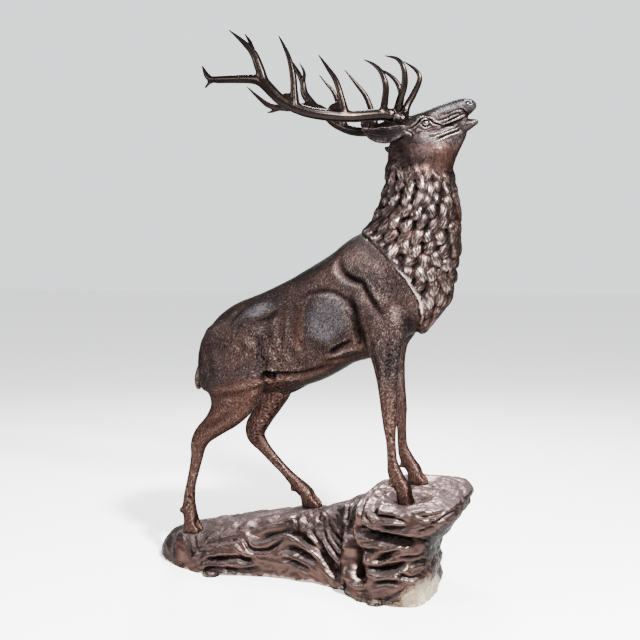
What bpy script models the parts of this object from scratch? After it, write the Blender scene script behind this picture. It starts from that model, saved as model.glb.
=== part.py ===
# A cast bronze stag standing on a cast rock, in metres, +Z up.
# The stag looks along +X, its left side is at +Y, and the origin is under the middle of the rock.
import math

import bmesh
import bpy
import numpy as np
from mathutils import Vector

# Driving sizes of the figure
WITHERS_HEIGHT = 1.25        # shoulder above the fore hooves
DRAWN_WITHERS = 1.25         # shoulder height at which the figure's stations are drawn
ANTLER_SPREAD = 0.72         # outside width over both antler beams
TUFT_RISE = 0.034            # how far a mane lock stands off the neck
TUFT_COLUMNS = 22            # locks round the neck
TUFT_PITCH = 0.066           # one row of locks to the next, down the neck
MANE_LIFT = 0.012            # step of the mane's edge over the shoulder

# Driving sizes of the rock
ROCK_LENGTH = 1.53           # along the ground
ROCK_WIDTH = 0.64            # across the ledge block
LEDGE_HEIGHT = 0.43          # top of the ledge under the fore hooves
LEDGE_OVERHANG = 0.15        # how far the ledge's lip reaches past its foot
SLAB_HEIGHT = 0.165          # top of the low slab under the near hind hoof
FAR_SLAB_HEIGHT = 0.275      # top of the slab under the far hind hoof
FORE_STEP = 0.014            # far fore hoof above, near fore hoof below the ledge's mean height
FOLD_DEPTH = 0.034           # folds carved in the rock's sides
FOLD_PITCH = 0.085           # one fold to the next, up the side
FOOT_TURN = 0.12             # the ledge's foot reaches forward on its near side, per metre off the middle
LUG_RADIUS = 0.042           # anchoring lugs at the ground
LUG_HEIGHT = 0.022

# Fits and fineness
SEAT_GAP = 0.0003            # hoof sole to its seat
SEAT_DEPTH = 0.012           # rock round a hoof above its seat
SEAT_RADIUS = 0.081
VOXEL = 0.0085
ROCK_VOXEL = 0.014
FIGURE_TRIANGLES = 5300
ROCK_TRIANGLES = 2450

S = WITHERS_HEIGHT / DRAWN_WITHERS
DRAWN_LEDGE = 0.43           # ledge height in the figure's stations and the rock's creases
DRAWN_ROCK = 1.53            # rock length in the rock's creases
DRAWN_SPREAD = 0.72          # antler spread in the figure's stations

# Hooves: middle of the sole, and the height of the seat under it
HOOVES = {
    "near_fore": (0.500 * S, -0.170 * S, LEDGE_HEIGHT - FORE_STEP),
    "far_fore": (0.463 * S, 0.130 * S, LEDGE_HEIGHT + FORE_STEP * 0.8),
    "near_hind": (-0.630 * S, -0.150 * S, SLAB_HEIGHT),
    "far_hind": (-0.095 * S, 0.130 * S, FAR_SLAB_HEIGHT),
}


def lift(z):
    """Height of a drawn station, standing on the ledge."""
    return LEDGE_HEIGHT + (z - DRAWN_LEDGE) * S


# Small mesh tools

def new_object(name, bm):
    mesh = bpy.data.meshes.new(name)
    bm.to_mesh(mesh)
    bm.free()
    made = bpy.data.objects.new(name, mesh)
    bpy.context.scene.collection.objects.link(made)
    return made


def bake(made):
    """Keep what the modifiers make and drop them."""
    bpy.context.view_layer.update()
    graph = bpy.context.evaluated_depsgraph_get()
    mesh = bpy.data.meshes.new_from_object(made.evaluated_get(graph))
    made.modifiers.clear()
    old, made.data = made.data, mesh
    bpy.data.meshes.remove(old)
    return made


def boolean(made, other, operation):
    cut = made.modifiers.new(operation.lower(), "BOOLEAN")
    cut.operation, cut.object, cut.solver = operation, other, "EXACT"
    bake(made)
    bpy.data.objects.remove(other)
    return made


def points_of(made):
    flat = np.empty(len(made.data.vertices) * 3)
    made.data.vertices.foreach_get("co", flat)
    return flat.reshape(-1, 3)


def normals_of(made):
    flat = np.empty(len(made.data.vertices) * 3)
    made.data.vertices.foreach_get("normal", flat)
    return flat.reshape(-1, 3)


def move_points(made, points):
    made.data.vertices.foreach_set("co", points.ravel())
    made.data.update()


def smooth_stations(stations, steps=4):
    """Catmull-Rom curve through rows of numbers, with some steps between each two rows."""
    rows = np.array(stations, dtype=float)
    padded = np.vstack([2 * rows[0] - rows[1], rows, 2 * rows[-1] - rows[-2]])
    out = []
    for i in range(1, len(padded) - 2):
        a, b, c, d = padded[i - 1:i + 3]
        for t in np.arange(steps) / steps:
            out.append(0.5 * (2 * b + (c - a) * t + (2 * a - 5 * b + 4 * c - d) * t ** 2
                              + (3 * b - a - 3 * c + d) * t ** 3))
    out.append(rows[-1])
    return np.array(out)


def loft(bm, stations, segments=20, egg=0.0, square=2.0, steps=4, facing=None):
    """A closed skin through stations (x, y, z, half width across, half depth).

    The rings stand square to the path, or all face one way. egg narrows the side that looks
    up or forward, and square is the superellipse power, 2 for an ellipse."""
    rows = smooth_stations(stations, steps)
    across = Vector((0, 1, 0))
    last = None
    for i, (x, y, z, half_width, half_depth) in enumerate(rows):
        ahead, behind = rows[min(i + 1, len(rows) - 1)], rows[max(i - 1, 0)]
        along = Vector(facing) if facing else Vector(ahead[:3] - behind[:3]).normalized()
        side = (across - along * across.dot(along)).normalized()
        depth = side.cross(along)
        end = i in (0, len(rows) - 1)
        verts = bmesh.ops.create_circle(bm, cap_ends=end, segments=segments, radius=1.0)["verts"]
        for vert in verts:
            u, v = vert.co.x, vert.co.y
            size = (abs(u) ** square + abs(v) ** square) ** (-1 / square)
            u, v = u * size, v * size
            u *= 1 - egg * v
            vert.co = Vector((x, y, z)) + side * (u * half_width) + depth * (v * half_depth)
        edges = list({edge for vert in verts for edge in vert.link_edges})
        if last:
            bmesh.ops.bridge_loops(bm, edges=last + edges)
        last = edges


def blob(bm, centre, radii):
    """An ellipsoid, for a muscle, a dewclaw or a knob."""
    ball = bmesh.ops.create_uvsphere(bm, u_segments=16, v_segments=10, radius=1.0)["verts"]
    for vert in ball:
        vert.co = Vector(centre) + Vector(c * r for c, r in zip(vert.co, radii))


def block(name, centre, sizes):
    bm = bmesh.new()
    bmesh.ops.create_cube(bm, size=1.0)
    for vert in bm.verts:
        vert.co = Vector(centre) + Vector(c * size for c, size in zip(vert.co, sizes))
    return new_object(name, bm)


def voxels(made, size):
    remesh = made.modifiers.new("voxels", "REMESH")
    remesh.mode, remesh.voxel_size, remesh.adaptivity = "VOXEL", size, 0
    return bake(made)


def relax(made, weights, rounds):
    """Even out the skin where the weights, one for each point, say so."""
    group = made.vertex_groups.new(name="relax")
    for level in range(1, 11):
        picked = np.nonzero(np.round(weights * 10) == level)[0]
        group.add([int(i) for i in picked], level / 10, "REPLACE")
    smooth = made.modifiers.new("relax", "SMOOTH")
    smooth.factor, smooth.iterations, smooth.vertex_group = 0.5, rounds, group.name
    bake(made)
    made.vertex_groups.clear()
    return made


def thin_out(made, triangles):
    count = sum(len(face.vertices) - 2 for face in made.data.polygons)
    fewer = made.modifiers.new("fewer", "DECIMATE")
    fewer.ratio = min(1.0, triangles / count)
    return bake(made)


# Curves drawn on the animal's flank, as (x, z)

def near_path(x, z, path, width):
    """How close points are to a drawn line: 1 on it, falling to 0 at a few widths."""
    nearest = np.full(len(x), 9.0)
    for (x0, z0), (x1, z1) in zip(path, path[1:]):
        dx, dz = x1 - x0, z1 - z0
        t = np.clip(((x - x0) * dx + (z - z0) * dz) / (dx * dx + dz * dz), 0, 1)
        nearest = np.minimum(nearest, np.hypot(x - x0 - t * dx, z - z0 - t * dz))
    return np.exp(-(nearest / width) ** 2)


def near_oval(x, z, centre, half_long, half_wide, tilt):
    """1 in the middle of a tilted oval, falling softly to 0 past its rim."""
    c, s = math.cos(math.radians(tilt)), math.sin(math.radians(tilt))
    u = ((x - centre[0]) * c + (z - centre[1]) * s) / half_long
    v = (-(x - centre[0]) * s + (z - centre[1]) * c) / half_wide
    return np.exp(-(u * u + v * v) ** 1.5)


# The stag's body, as stations drawn from nose to tail and from shoulder to hoof

def scaled(stations):
    """Stations (x, y, z, half width, half depth) at the figure's size."""
    return [(x * S, y * S, lift(z), w * S, d * S) for x, y, z, w, d in stations]


def trunk(bm):
    # x, top, bottom, half width
    sections = [
        (-0.642, 1.110, 1.020, 0.050), (-0.606, 1.168, 0.930, 0.115), (-0.550, 1.222, 0.880, 0.165),
        (-0.493, 1.277, 0.870, 0.195), (-0.402, 1.329, 0.868, 0.212), (-0.269, 1.380, 0.868, 0.210),
        (-0.150, 1.434, 0.885, 0.203), (-0.063, 1.480, 0.915, 0.212), (0.026, 1.528, 0.948, 0.226),
        (0.110, 1.580, 0.993, 0.236), (0.187, 1.636, 1.036, 0.238), (0.283, 1.680, 1.066, 0.232),
        (0.370, 1.700, 1.120, 0.224), (0.450, 1.680, 1.172, 0.205), (0.530, 1.600, 1.212, 0.172),
        (0.600, 1.520, 1.290, 0.120), (0.640, 1.460, 1.350, 0.060),
    ]
    stations = [(x, 0, (top + low) / 2, wide, (top - low) / 2) for x, top, low, wide in sections]
    loft(bm, scaled(stations), 28, egg=0.16, square=2.15, facing=(1, 0, 0))


def neck(bm):
    # height, back, front, half width
    sections = [
        (1.190, 0.360, 0.540, 0.090), (1.250, 0.300, 0.590, 0.145), (1.320, 0.250, 0.630, 0.180),
        (1.400, 0.225, 0.668, 0.205), (1.480, 0.205, 0.684, 0.216), (1.570, 0.190, 0.700, 0.216),
        (1.650, 0.225, 0.702, 0.206), (1.730, 0.282, 0.700, 0.194), (1.800, 0.308, 0.694, 0.180),
        (1.870, 0.330, 0.676, 0.163), (1.940, 0.343, 0.662, 0.146), (2.000, 0.350, 0.672, 0.128),
        (2.050, 0.352, 0.698, 0.106), (2.095, 0.366, 0.718, 0.084), (2.130, 0.392, 0.715, 0.058),
    ]
    stations = []
    for z, back, front, wide in sections:
        locks_over = (MANE_LIFT + 0.5 * TUFT_RISE) * min(1, max(0, (MANE_TOP - z) / 0.12))
        stations.append(((back + front) / 2, 0, z, wide - locks_over, (front - back) / 2 - 0.75 * locks_over))
    loft(bm, scaled(stations), 28, egg=-0.14, square=2.1, facing=(0, 0, -1))


def head(bm):
    # x, top, bottom, half width
    skull = [
        (0.385, 2.150, 2.040, 0.050), (0.420, 2.185, 2.020, 0.074), (0.465, 2.194, 2.018, 0.088),
        (0.510, 2.198, 2.030, 0.089), (0.552, 2.205, 2.050, 0.076), (0.600, 2.219, 2.084, 0.060),
        (0.650, 2.236, 2.128, 0.049), (0.695, 2.252, 2.168, 0.045), (0.730, 2.250, 2.180, 0.042),
        (0.752, 2.232, 2.196, 0.026),
    ]
    jaw = [
        (0.500, 2.100, 2.030, 0.058), (0.561, 2.110, 2.046, 0.058), (0.617, 2.125, 2.077, 0.046),
        (0.670, 2.150, 2.092, 0.038), (0.715, 2.164, 2.106, 0.034), (0.744, 2.162, 2.124, 0.030),
        (0.764, 2.159, 2.136, 0.024), (0.775, 2.157, 2.145, 0.013),
    ]
    # the lips close the mouth behind its open front
    lips = [
        (0.560, 2.190, 2.080, 0.052), (0.610, 2.196, 2.092, 0.047), (0.655, 2.202, 2.112, 0.041),
        (0.690, 2.200, 2.128, 0.037), (0.712, 2.192, 2.140, 0.031), (0.722, 2.182, 2.150, 0.020),
    ]
    for sections, egg in ((skull, 0.12), (jaw, -0.1), (lips, 0.0)):
        stations = [(x, 0, (top + low) / 2, wide, (top - low) / 2) for x, top, low, wide in sections]
        loft(bm, scaled(stations), 20, egg, facing=(1, 0, 0))
    for side in (-1, 1):
        # brow over the eye, the eye and the side of the nostril
        blob(bm, *scaled_ball((0.530, side * 0.074, 2.165), (0.036, 0.020, 0.016)))
        blob(bm, *scaled_ball((0.552, side * 0.072, 2.143), (0.017, 0.014, 0.013)))
        blob(bm, *scaled_ball((0.728, side * 0.030, 2.228), (0.022, 0.018, 0.020)))


def scaled_ball(centre, radii):
    x, y, z = centre
    return (x * S, y * S, lift(z)), [r * S for r in radii]


def ears(bm):
    for side, droop in ((-1, 0.0), (1, 0.045)):
        # a leaf that points back and out, the left one drooping more
        stations = [
            (0.470, side * 0.070, 2.122, 0.016, 0.018), (0.430, side * 0.098, 2.112, 0.012, 0.030),
            (0.380, side * 0.128, 2.093, 0.011, 0.041), (0.330, side * 0.152, 2.094, 0.010, 0.033),
            (0.292, side * 0.166, 2.110, 0.009, 0.018), (0.272, side * 0.172, 2.123, 0.007, 0.007),
        ]
        reach = stations[0][0] - stations[-1][0]
        stations = [(x, y, z - droop * (stations[0][0] - x) / reach, w, d) for x, y, z, w, d in stations]
        loft(bm, scaled(stations), 12)


def tail(bm):
    stations = [
        (-0.590, 0, 1.060, 0.040, 0.030), (-0.638, 0, 1.000, 0.040, 0.032), (-0.666, 0, 0.945, 0.038, 0.026),
        (-0.676, 0, 0.900, 0.032, 0.020), (-0.678, 0, 0.862, 0.014, 0.012),
    ]
    loft(bm, scaled(stations), 12)


def sheath(bm):
    stations = [
        (-0.060, 0, 0.965, 0.040, 0.040), (-0.130, 0, 0.915, 0.036, 0.034), (-0.185, 0, 0.880, 0.026, 0.024),
        (-0.205, 0, 0.866, 0.020, 0.018),
    ]
    loft(bm, scaled(stations), 12)


LEGS = {
    # x, y, z, half width, half depth, from inside the body down to the coronet
    "near_fore": [
        (0.370, -0.120, 1.330, 0.070, 0.110), (0.380, -0.142, 1.230, 0.078, 0.112),
        (0.380, -0.156, 1.140, 0.066, 0.090), (0.389, -0.162, 1.060, 0.050, 0.068),
        (0.399, -0.166, 0.960, 0.042, 0.049), (0.404, -0.168, 0.880, 0.037, 0.041),
        (0.411, -0.170, 0.800, 0.036, 0.036), (0.412, -0.170, 0.758, 0.032, 0.031),
        (0.418, -0.170, 0.690, 0.024, 0.024), (0.424, -0.170, 0.610, 0.024, 0.025),
        (0.436, -0.170, 0.555, 0.030, 0.035), (0.458, -0.170, 0.510, 0.032, 0.036),
        (0.478, -0.170, 0.480, 0.036, 0.040),
    ],
    "far_fore": [
        (0.360, 0.120, 1.330, 0.070, 0.110), (0.352, 0.130, 1.230, 0.078, 0.112),
        (0.333, 0.132, 1.140, 0.066, 0.084), (0.338, 0.132, 1.060, 0.050, 0.060),
        (0.350, 0.131, 0.960, 0.042, 0.044), (0.361, 0.130, 0.880, 0.037, 0.037),
        (0.370, 0.130, 0.800, 0.036, 0.034), (0.373, 0.130, 0.758, 0.032, 0.029),
        (0.378, 0.130, 0.690, 0.024, 0.025), (0.382, 0.130, 0.620, 0.024, 0.026),
        (0.396, 0.130, 0.570, 0.030, 0.034), (0.420, 0.130, 0.530, 0.032, 0.035),
        (0.442, 0.130, 0.500, 0.036, 0.039),
    ],
    "near_hind": [
        (-0.400, -0.090, 1.180, 0.100, 0.170), (-0.410, -0.118, 1.050, 0.100, 0.195),
        (-0.410, -0.136, 0.940, 0.090, 0.182), (-0.408, -0.146, 0.860, 0.074, 0.140),
        (-0.440, -0.150, 0.785, 0.058, 0.094), (-0.499, -0.152, 0.722, 0.047, 0.064),
        (-0.563, -0.152, 0.668, 0.040, 0.052), (-0.594, -0.151, 0.618, 0.036, 0.044),
        (-0.604, -0.150, 0.560, 0.029, 0.034), (-0.620, -0.150, 0.490, 0.026, 0.029),
        (-0.638, -0.150, 0.420, 0.025, 0.027), (-0.650, -0.150, 0.350, 0.027, 0.031),
        (-0.650, -0.150, 0.292, 0.033, 0.037), (-0.642, -0.150, 0.245, 0.036, 0.038),
    ],
    "far_hind": [
        (-0.380, 0.090, 1.180, 0.100, 0.170), (-0.370, 0.116, 1.050, 0.100, 0.190),
        (-0.340, 0.130, 0.940, 0.090, 0.160), (-0.325, 0.134, 0.870, 0.074, 0.118),
        (-0.345, 0.134, 0.790, 0.058, 0.084), (-0.376, 0.133, 0.715, 0.047, 0.062),
        (-0.412, 0.132, 0.652, 0.040, 0.060), (-0.412, 0.131, 0.602, 0.036, 0.052),
        (-0.368, 0.130, 0.546, 0.029, 0.035), (-0.313, 0.130, 0.489, 0.026, 0.029),
        (-0.252, 0.130, 0.431, 0.025, 0.026), (-0.202, 0.130, 0.384, 0.028, 0.031),
        (-0.161, 0.130, 0.348, 0.034, 0.037), (-0.125, 0.130, 0.318, 0.036, 0.039),
    ],
}


def leg(bm, name):
    """One leg, stretched between the body and the seat that its hoof stands on."""
    sole_x, sole_y, seat = HOOVES[name]
    drawn = LEGS[name]
    top = lift(drawn[0][2])
    drawn_seat = drawn[-1][2] - 0.068
    reach = (top - seat) / (drawn[0][2] - drawn_seat)

    def down(z):
        return seat + (z - drawn_seat) * reach

    stations = [(x * S, y * S, down(z), w * S, d * S) for x, y, z, w, d in drawn]
    loft(bm, stations, 16)
    x, y, z = stations[-1][:3]
    fetlock_x, fetlock_y, fetlock_z = stations[-2][:3]
    for side in (-1, 1):
        toe(bm, (x, y, z), (sole_x, sole_y, seat), side)
        blob(bm, (fetlock_x - 0.040 * S, fetlock_y + side * 0.018 * S, fetlock_z - 0.012 * S),
             (0.013 * S, 0.011 * S, 0.017 * S))


def toe(bm, coronet, sole, side):
    """One half of the cloven hoof: it widens from the coronet to a flat sole, a cleft between."""
    x, y, z = coronet
    sole_x, sole_y, seat = sole
    spread = side * 0.023 * S
    stations = [
        (x, y + spread * 0.8, z + 0.012 * S, 0.019 * S, 0.030 * S),
        (x + (sole_x - x) * 0.45, y + spread, seat + (z - seat) * 0.45, 0.021 * S, 0.038 * S),
        (sole_x, sole_y + spread, seat + 0.006 * S, 0.022 * S, 0.047 * S),
        (sole_x + 0.002 * S, sole_y + spread, seat - 0.020 * S, 0.022 * S, 0.048 * S),
    ]
    loft(bm, stations, 12, steps=3)


# Muscles, folds and the mane, raised on the skin

SWELLS = [
    # middle of the oval (x, z), half length, half width, tilt in degrees, rise
    ((0.330, 1.455), 0.120, 0.060, -52, 0.014),    # shoulder blade
    ((0.385, 1.300), 0.120, 0.075, -70, 0.016),    # upper arm
    ((0.120, 1.250), 0.125, 0.105, 60, 0.018),     # the rounded mass behind the shoulder
    ((-0.430, 1.060), 0.190, 0.130, 75, 0.012),    # haunch
    ((-0.380, 1.250), 0.055, 0.040, 30, 0.010),    # hip bone
    ((-0.300, 0.930), 0.090, 0.060, 60, 0.010),    # stifle
]
CREASES = [
    # line (x, z), half width, depth
    ([(0.172, 1.540), (0.228, 1.461), (0.323, 1.414), (0.345, 1.352), (0.383, 1.290)], 0.013, 0.014),
    ([(0.259, 1.341), (0.248, 1.235), (0.240, 1.151), (0.205, 1.110)], 0.013, 0.014),
    ([(-0.233, 1.180), (-0.215, 1.060), (-0.190, 0.965)], 0.018, 0.012),
    ([(-0.100, 1.300), (-0.125, 1.180), (-0.090, 1.060)], 0.020, 0.008),
    ([(-0.020, 1.330), (-0.045, 1.200), (-0.020, 1.080)], 0.020, 0.008),
    ([(-0.350, 0.800), (-0.440, 0.760), (-0.540, 0.700)], 0.012, 0.006),
]
MANE_EDGE = [(1.200, 0.500), (1.267, 0.529), (1.333, 0.534), (1.374, 0.518), (1.436, 0.485),
             (1.502, 0.426), (1.570, 0.366), (1.620, 0.300), (1.660, 0.220), (1.700, 0.100)]
MANE_TOP = 1.990


def drawn_place(points):
    """Points back in the drawn figure's own sizes."""
    return points[:, 0] / S, points[:, 1] / S, DRAWN_LEDGE + (points[:, 2] - LEDGE_HEIGHT) / S


def muscles(points, normals):
    x, y, z = drawn_place(points)
    flank = np.clip(np.abs(normals[:, 1]) * 1.6 - 0.2, 0, 1)
    raised = np.zeros(len(x))
    for centre, half_long, half_wide, tilt, rise in SWELLS:
        raised += rise * near_oval(x, z, centre, half_long, half_wide, tilt)
    for path, width, depth in CREASES:
        raised -= depth * near_path(x, z, path, width)
    return raised * flank * S


def in_mane(x, z):
    """0 outside the mane, 1 inside it, over a narrow band at its edge."""
    heights, edges = zip(*MANE_EDGE)
    ahead = (x - np.interp(z, heights, edges)) / 0.022
    below = (MANE_TOP - z) / 0.050
    return np.clip(ahead, 0, 1) * np.clip(below, 0, 1)


def locks(points):
    """Height of the mane's locks, 0 to 1: rows of drops whose tips lie over the next row down."""
    x, y, z = drawn_place(points)
    middle = np.interp(z, (1.2, 1.55, 1.8, 2.05), (0.44, 0.45, 0.50, 0.51))
    turn = np.arctan2(y, x - middle) / (2 * math.pi) * TUFT_COLUMNS
    drop = (MANE_TOP - z) / TUFT_PITCH * S
    height = np.zeros(len(x))
    for above in (0, 1):
        row = np.floor(drop) - above
        shift = 0.5 * (row % 2) + 0.18 * np.sin(row * 2.3)
        column = np.round(turn - shift)
        sway = 0.16 * np.sin(column * 5.1 + row * 3.7)
        length = 1.55 + 0.25 * np.sin(column * 2.9 + row * 4.3)
        v = np.clip((drop - row) / length, 0, 1)
        u = turn - shift - column + sway * v
        half = 0.60 * np.sqrt(np.clip(1 - v ** 2.4, 0, 1))
        crown = np.sqrt(np.clip(1 - (u / np.maximum(half, 1e-3)) ** 2, 0, 1))
        height = np.maximum(height, crown * (0.30 + 0.70 * v) * (v < 1))
    return height


def carve_figure(skin):
    points = points_of(skin)
    normals = normals_of(skin)
    x, y, z = drawn_place(points)
    mane = in_mane(x, z)
    raised = muscles(points, normals) * (1 - mane)
    raised += mane * (MANE_LIFT * S + (locks(points) - 0.45) * TUFT_RISE * S)
    move_points(skin, points + normals * raised[:, None])


def antler_tube(stations, sides=6):
    """One beam or tine, from stations (x, y, z, radius) drawn on the near side."""
    bm = bmesh.new()
    loft(bm, [(x, y, z, r, r) for x, y, z, r in stations], segments=sides, steps=1)
    bmesh.ops.recalc_face_normals(bm, faces=bm.faces)
    return new_object("tine", bm)


BEAM = [
    # x, distance from the middle plane, z, radius
    (0.430, 0.040, 2.165, 0.036), (0.394, 0.055, 2.188, 0.032), (0.336, 0.110, 2.189, 0.027),
    (0.228, 0.200, 2.174, 0.026), (0.122, 0.270, 2.178, 0.025), (0.028, 0.310, 2.200, 0.025),
    (-0.053, 0.330, 2.243, 0.025), (-0.099, 0.338, 2.286, 0.026), (-0.150, 0.336, 2.335, 0.028),
    (-0.207, 0.325, 2.352, 0.021), (-0.330, 0.297, 2.366, 0.018), (-0.440, 0.266, 2.380, 0.017),
    (-0.478, 0.256, 2.405, 0.014), (-0.505, 0.250, 2.451, 0.004),
]
TINES = {
    "brow": [(0.405, 0.055, 2.200, 0.022), (0.421, 0.070, 2.252, 0.018), (0.449, 0.085, 2.325, 0.016),
             (0.446, 0.092, 2.395, 0.013), (0.415, 0.090, 2.440, 0.009), (0.352, 0.080, 2.462, 0.003)],
    "bez": [(0.350, 0.098, 2.195, 0.021), (0.363, 0.110, 2.250, 0.017), (0.371, 0.120, 2.316, 0.015),
            (0.348, 0.120, 2.380, 0.012), (0.305, 0.110, 2.422, 0.008), (0.258, 0.100, 2.448, 0.003)],
    "trez": [(0.206, 0.212, 2.178, 0.027), (0.196, 0.216, 2.240, 0.017), (0.163, 0.208, 2.336, 0.014),
             (0.115, 0.192, 2.403, 0.010), (0.061, 0.172, 2.472, 0.003)],
    "fourth": [(0.004, 0.316, 2.208, 0.027), (-0.001, 0.312, 2.284, 0.018), (-0.008, 0.306, 2.352, 0.016),
               (-0.030, 0.298, 2.434, 0.012), (-0.064, 0.284, 2.500, 0.008), (-0.097, 0.270, 2.552, 0.003)],
    "fifth": [(-0.135, 0.336, 2.320, 0.025), (-0.160, 0.340, 2.395, 0.022), (-0.190, 0.343, 2.465, 0.019),
              (-0.240, 0.350, 2.520, 0.012), (-0.305, 0.360, 2.575, 0.003)],
    "fifth_fork": [(-0.185, 0.340, 2.455, 0.015), (-0.212, 0.325, 2.515, 0.010),
                   (-0.252, 0.302, 2.566, 0.003)],
    "end_fork": [(-0.440, 0.266, 2.378, 0.015), (-0.462, 0.262, 2.366, 0.010), (-0.486, 0.258, 2.345, 0.004)],
}
# The left antler differs where it shows: its end branch droops and three tines lean their own way
LEFT_BEAM = BEAM[:8] + [
    (-0.153, 0.336, 2.322, 0.027), (-0.205, 0.325, 2.334, 0.021), (-0.284, 0.310, 2.330, 0.019),
    (-0.353, 0.297, 2.334, 0.017), (-0.408, 0.280, 2.348, 0.015), (-0.463, 0.266, 2.393, 0.010),
    (-0.519, 0.250, 2.448, 0.003),
]
LEFT_TINES = {
    "brow": [(0.402, 0.055, 2.196, 0.022), (0.415, 0.070, 2.254, 0.018), (0.444, 0.085, 2.313, 0.016),
             (0.470, 0.092, 2.380, 0.013), (0.449, 0.090, 2.425, 0.009), (0.392, 0.080, 2.467, 0.003)],
    "fourth": [(0.005, 0.316, 2.208, 0.024), (-0.010, 0.312, 2.286, 0.016), (-0.043, 0.298, 2.386, 0.011),
               (-0.079, 0.284, 2.433, 0.007), (-0.115, 0.270, 2.481, 0.003)],
    "fifth": [(-0.150, 0.336, 2.310, 0.025), (-0.222, 0.340, 2.398, 0.021), (-0.238, 0.343, 2.464, 0.017),
              (-0.274, 0.350, 2.533, 0.011), (-0.317, 0.360, 2.598, 0.003)],
    "fifth_fork": [(-0.235, 0.342, 2.455, 0.014), (-0.222, 0.328, 2.510, 0.009),
                   (-0.240, 0.306, 2.560, 0.003)],
    "end_fork": [(-0.340, 0.298, 2.333, 0.014), (-0.390, 0.300, 2.318, 0.009), (-0.425, 0.300, 2.312, 0.003)],
}
BURR = (0.404, 0.052, 2.182)


def antler(side):
    """The right antler for side -1, the left one for side 1."""
    spread = side * ANTLER_SPREAD / DRAWN_SPREAD * S
    drawn = {"beam": BEAM, **TINES} if side < 0 else {"beam": LEFT_BEAM, **TINES, **LEFT_TINES}
    placed = {}
    for name, stations in drawn.items():
        placed[name] = [(x * S, y * spread, lift(z), r * S) for x, y, z, r in stations]
    made = antler_tube(placed.pop("beam"), sides=8)
    for stations in placed.values():
        boolean(made, antler_tube(stations), "UNION")
    return made


def stag():
    bm = bmesh.new()
    for part in (trunk, neck, head, ears, tail, sheath):
        part(bm)
    for name in LEGS:
        leg(bm, name)
    for side in (-1, 1):
        x, y, z = BURR
        blob(bm, *scaled_ball((x, side * y, z), (0.040, 0.040, 0.026)))
    bmesh.ops.recalc_face_normals(bm, faces=bm.faces)
    made = voxels(new_object("stag", bm), VOXEL)
    points = points_of(made)
    x, y, z = drawn_place(points)
    body = np.clip((z - 0.93) / 0.10, 0.15, 1) * np.clip((2.02 - z) / 0.08, 0.12, 1)
    relax(made, body, 14)
    carve_figure(made)
    thin_out(voxels(made, VOXEL), FIGURE_TRIANGLES)
    for side in (-1, 1):
        boolean(made, antler(side), "UNION")
    for x, y, seat in HOOVES.values():
        deep = 0.05 * S
        below = block("sole_cut", (x, y, seat + SEAT_GAP - deep / 2), (0.16 * S, 0.16 * S, deep))
        boolean(made, below, "DIFFERENCE")
    return made


# The rock

def ledge_slope(x, y):
    """Rise of the ledge's top towards its lip and its far side."""
    return 0.05 * (x - HOOVES["near_fore"][0]) + 0.06 * y


def ledge_block(bm):
    # height as a share of the ledge, back, front, near and far side as shares of the block
    foot_front = ROCK_LENGTH * 0.392
    back = foot_front - ROCK_LENGTH * 0.262
    shares = [
        (-0.10, 0.00, 0.05, 1.06), (0.00, 0.00, 0.05, 1.06), (0.25, 0.00, 0.02, 1.02),
        (0.46, 0.00, 0.00, 0.96), (0.62, 0.01, 0.34, 0.96), (0.78, 0.02, 0.70, 1.00),
        (0.90, 0.02, 0.93, 1.02), (0.98, 0.03, 1.00, 1.00), (1.03, 0.045, 0.93, 0.93),
        (1.06, 0.08, 0.78, 0.80),
    ]
    stations = []
    for height, start, out, wide in shares:
        x0 = back + start * ROCK_LENGTH
        x1 = foot_front + out * LEDGE_OVERHANG
        stations.append(((x0 + x1) / 2, -0.025, height * LEDGE_HEIGHT, wide * ROCK_WIDTH / 2, (x1 - x0) / 2))
    loft(bm, stations, 32, square=3.0, steps=3, facing=(0, 0, 1))


def slab(bm):
    # along, near side, far side and top, as shares of the rock's length, width and heights
    rear = SLAB_HEIGHT
    far = FAR_SLAB_HEIGHT
    drawn = [
        (-0.588, 0.02, 0.10, rear * 0.25), (-0.565, 0.12, 0.20, rear * 0.52),
        (-0.520, 0.24, 0.28, rear * 0.84), (-0.440, 0.36, 0.36, rear * 1.08),
        (-0.340, 0.44, 0.42, rear * 1.28), (-0.240, 0.40, 0.42, rear * 1.50),
        (-0.150, 0.34, 0.42, far * 0.98), (-0.050, 0.32, 0.42, far * 1.07),
        (0.050, 0.34, 0.42, far * 1.22), (0.130, 0.38, 0.42, far * 1.42),
        (0.200, 0.42, 0.44, far * 1.52), (0.280, 0.44, 0.44, far * 1.50),
    ]
    stations = []
    for along, near, away, top in drawn:
        low = -0.6 * top
        stations.append((along * ROCK_LENGTH, (away - near) / 2 * ROCK_WIDTH, (top + low) / 2,
                         (near + away) / 2 * ROCK_WIDTH, (top - low) / 2))
    loft(bm, stations, 28, square=2.6, steps=3, facing=(1, 0, 0))


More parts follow.
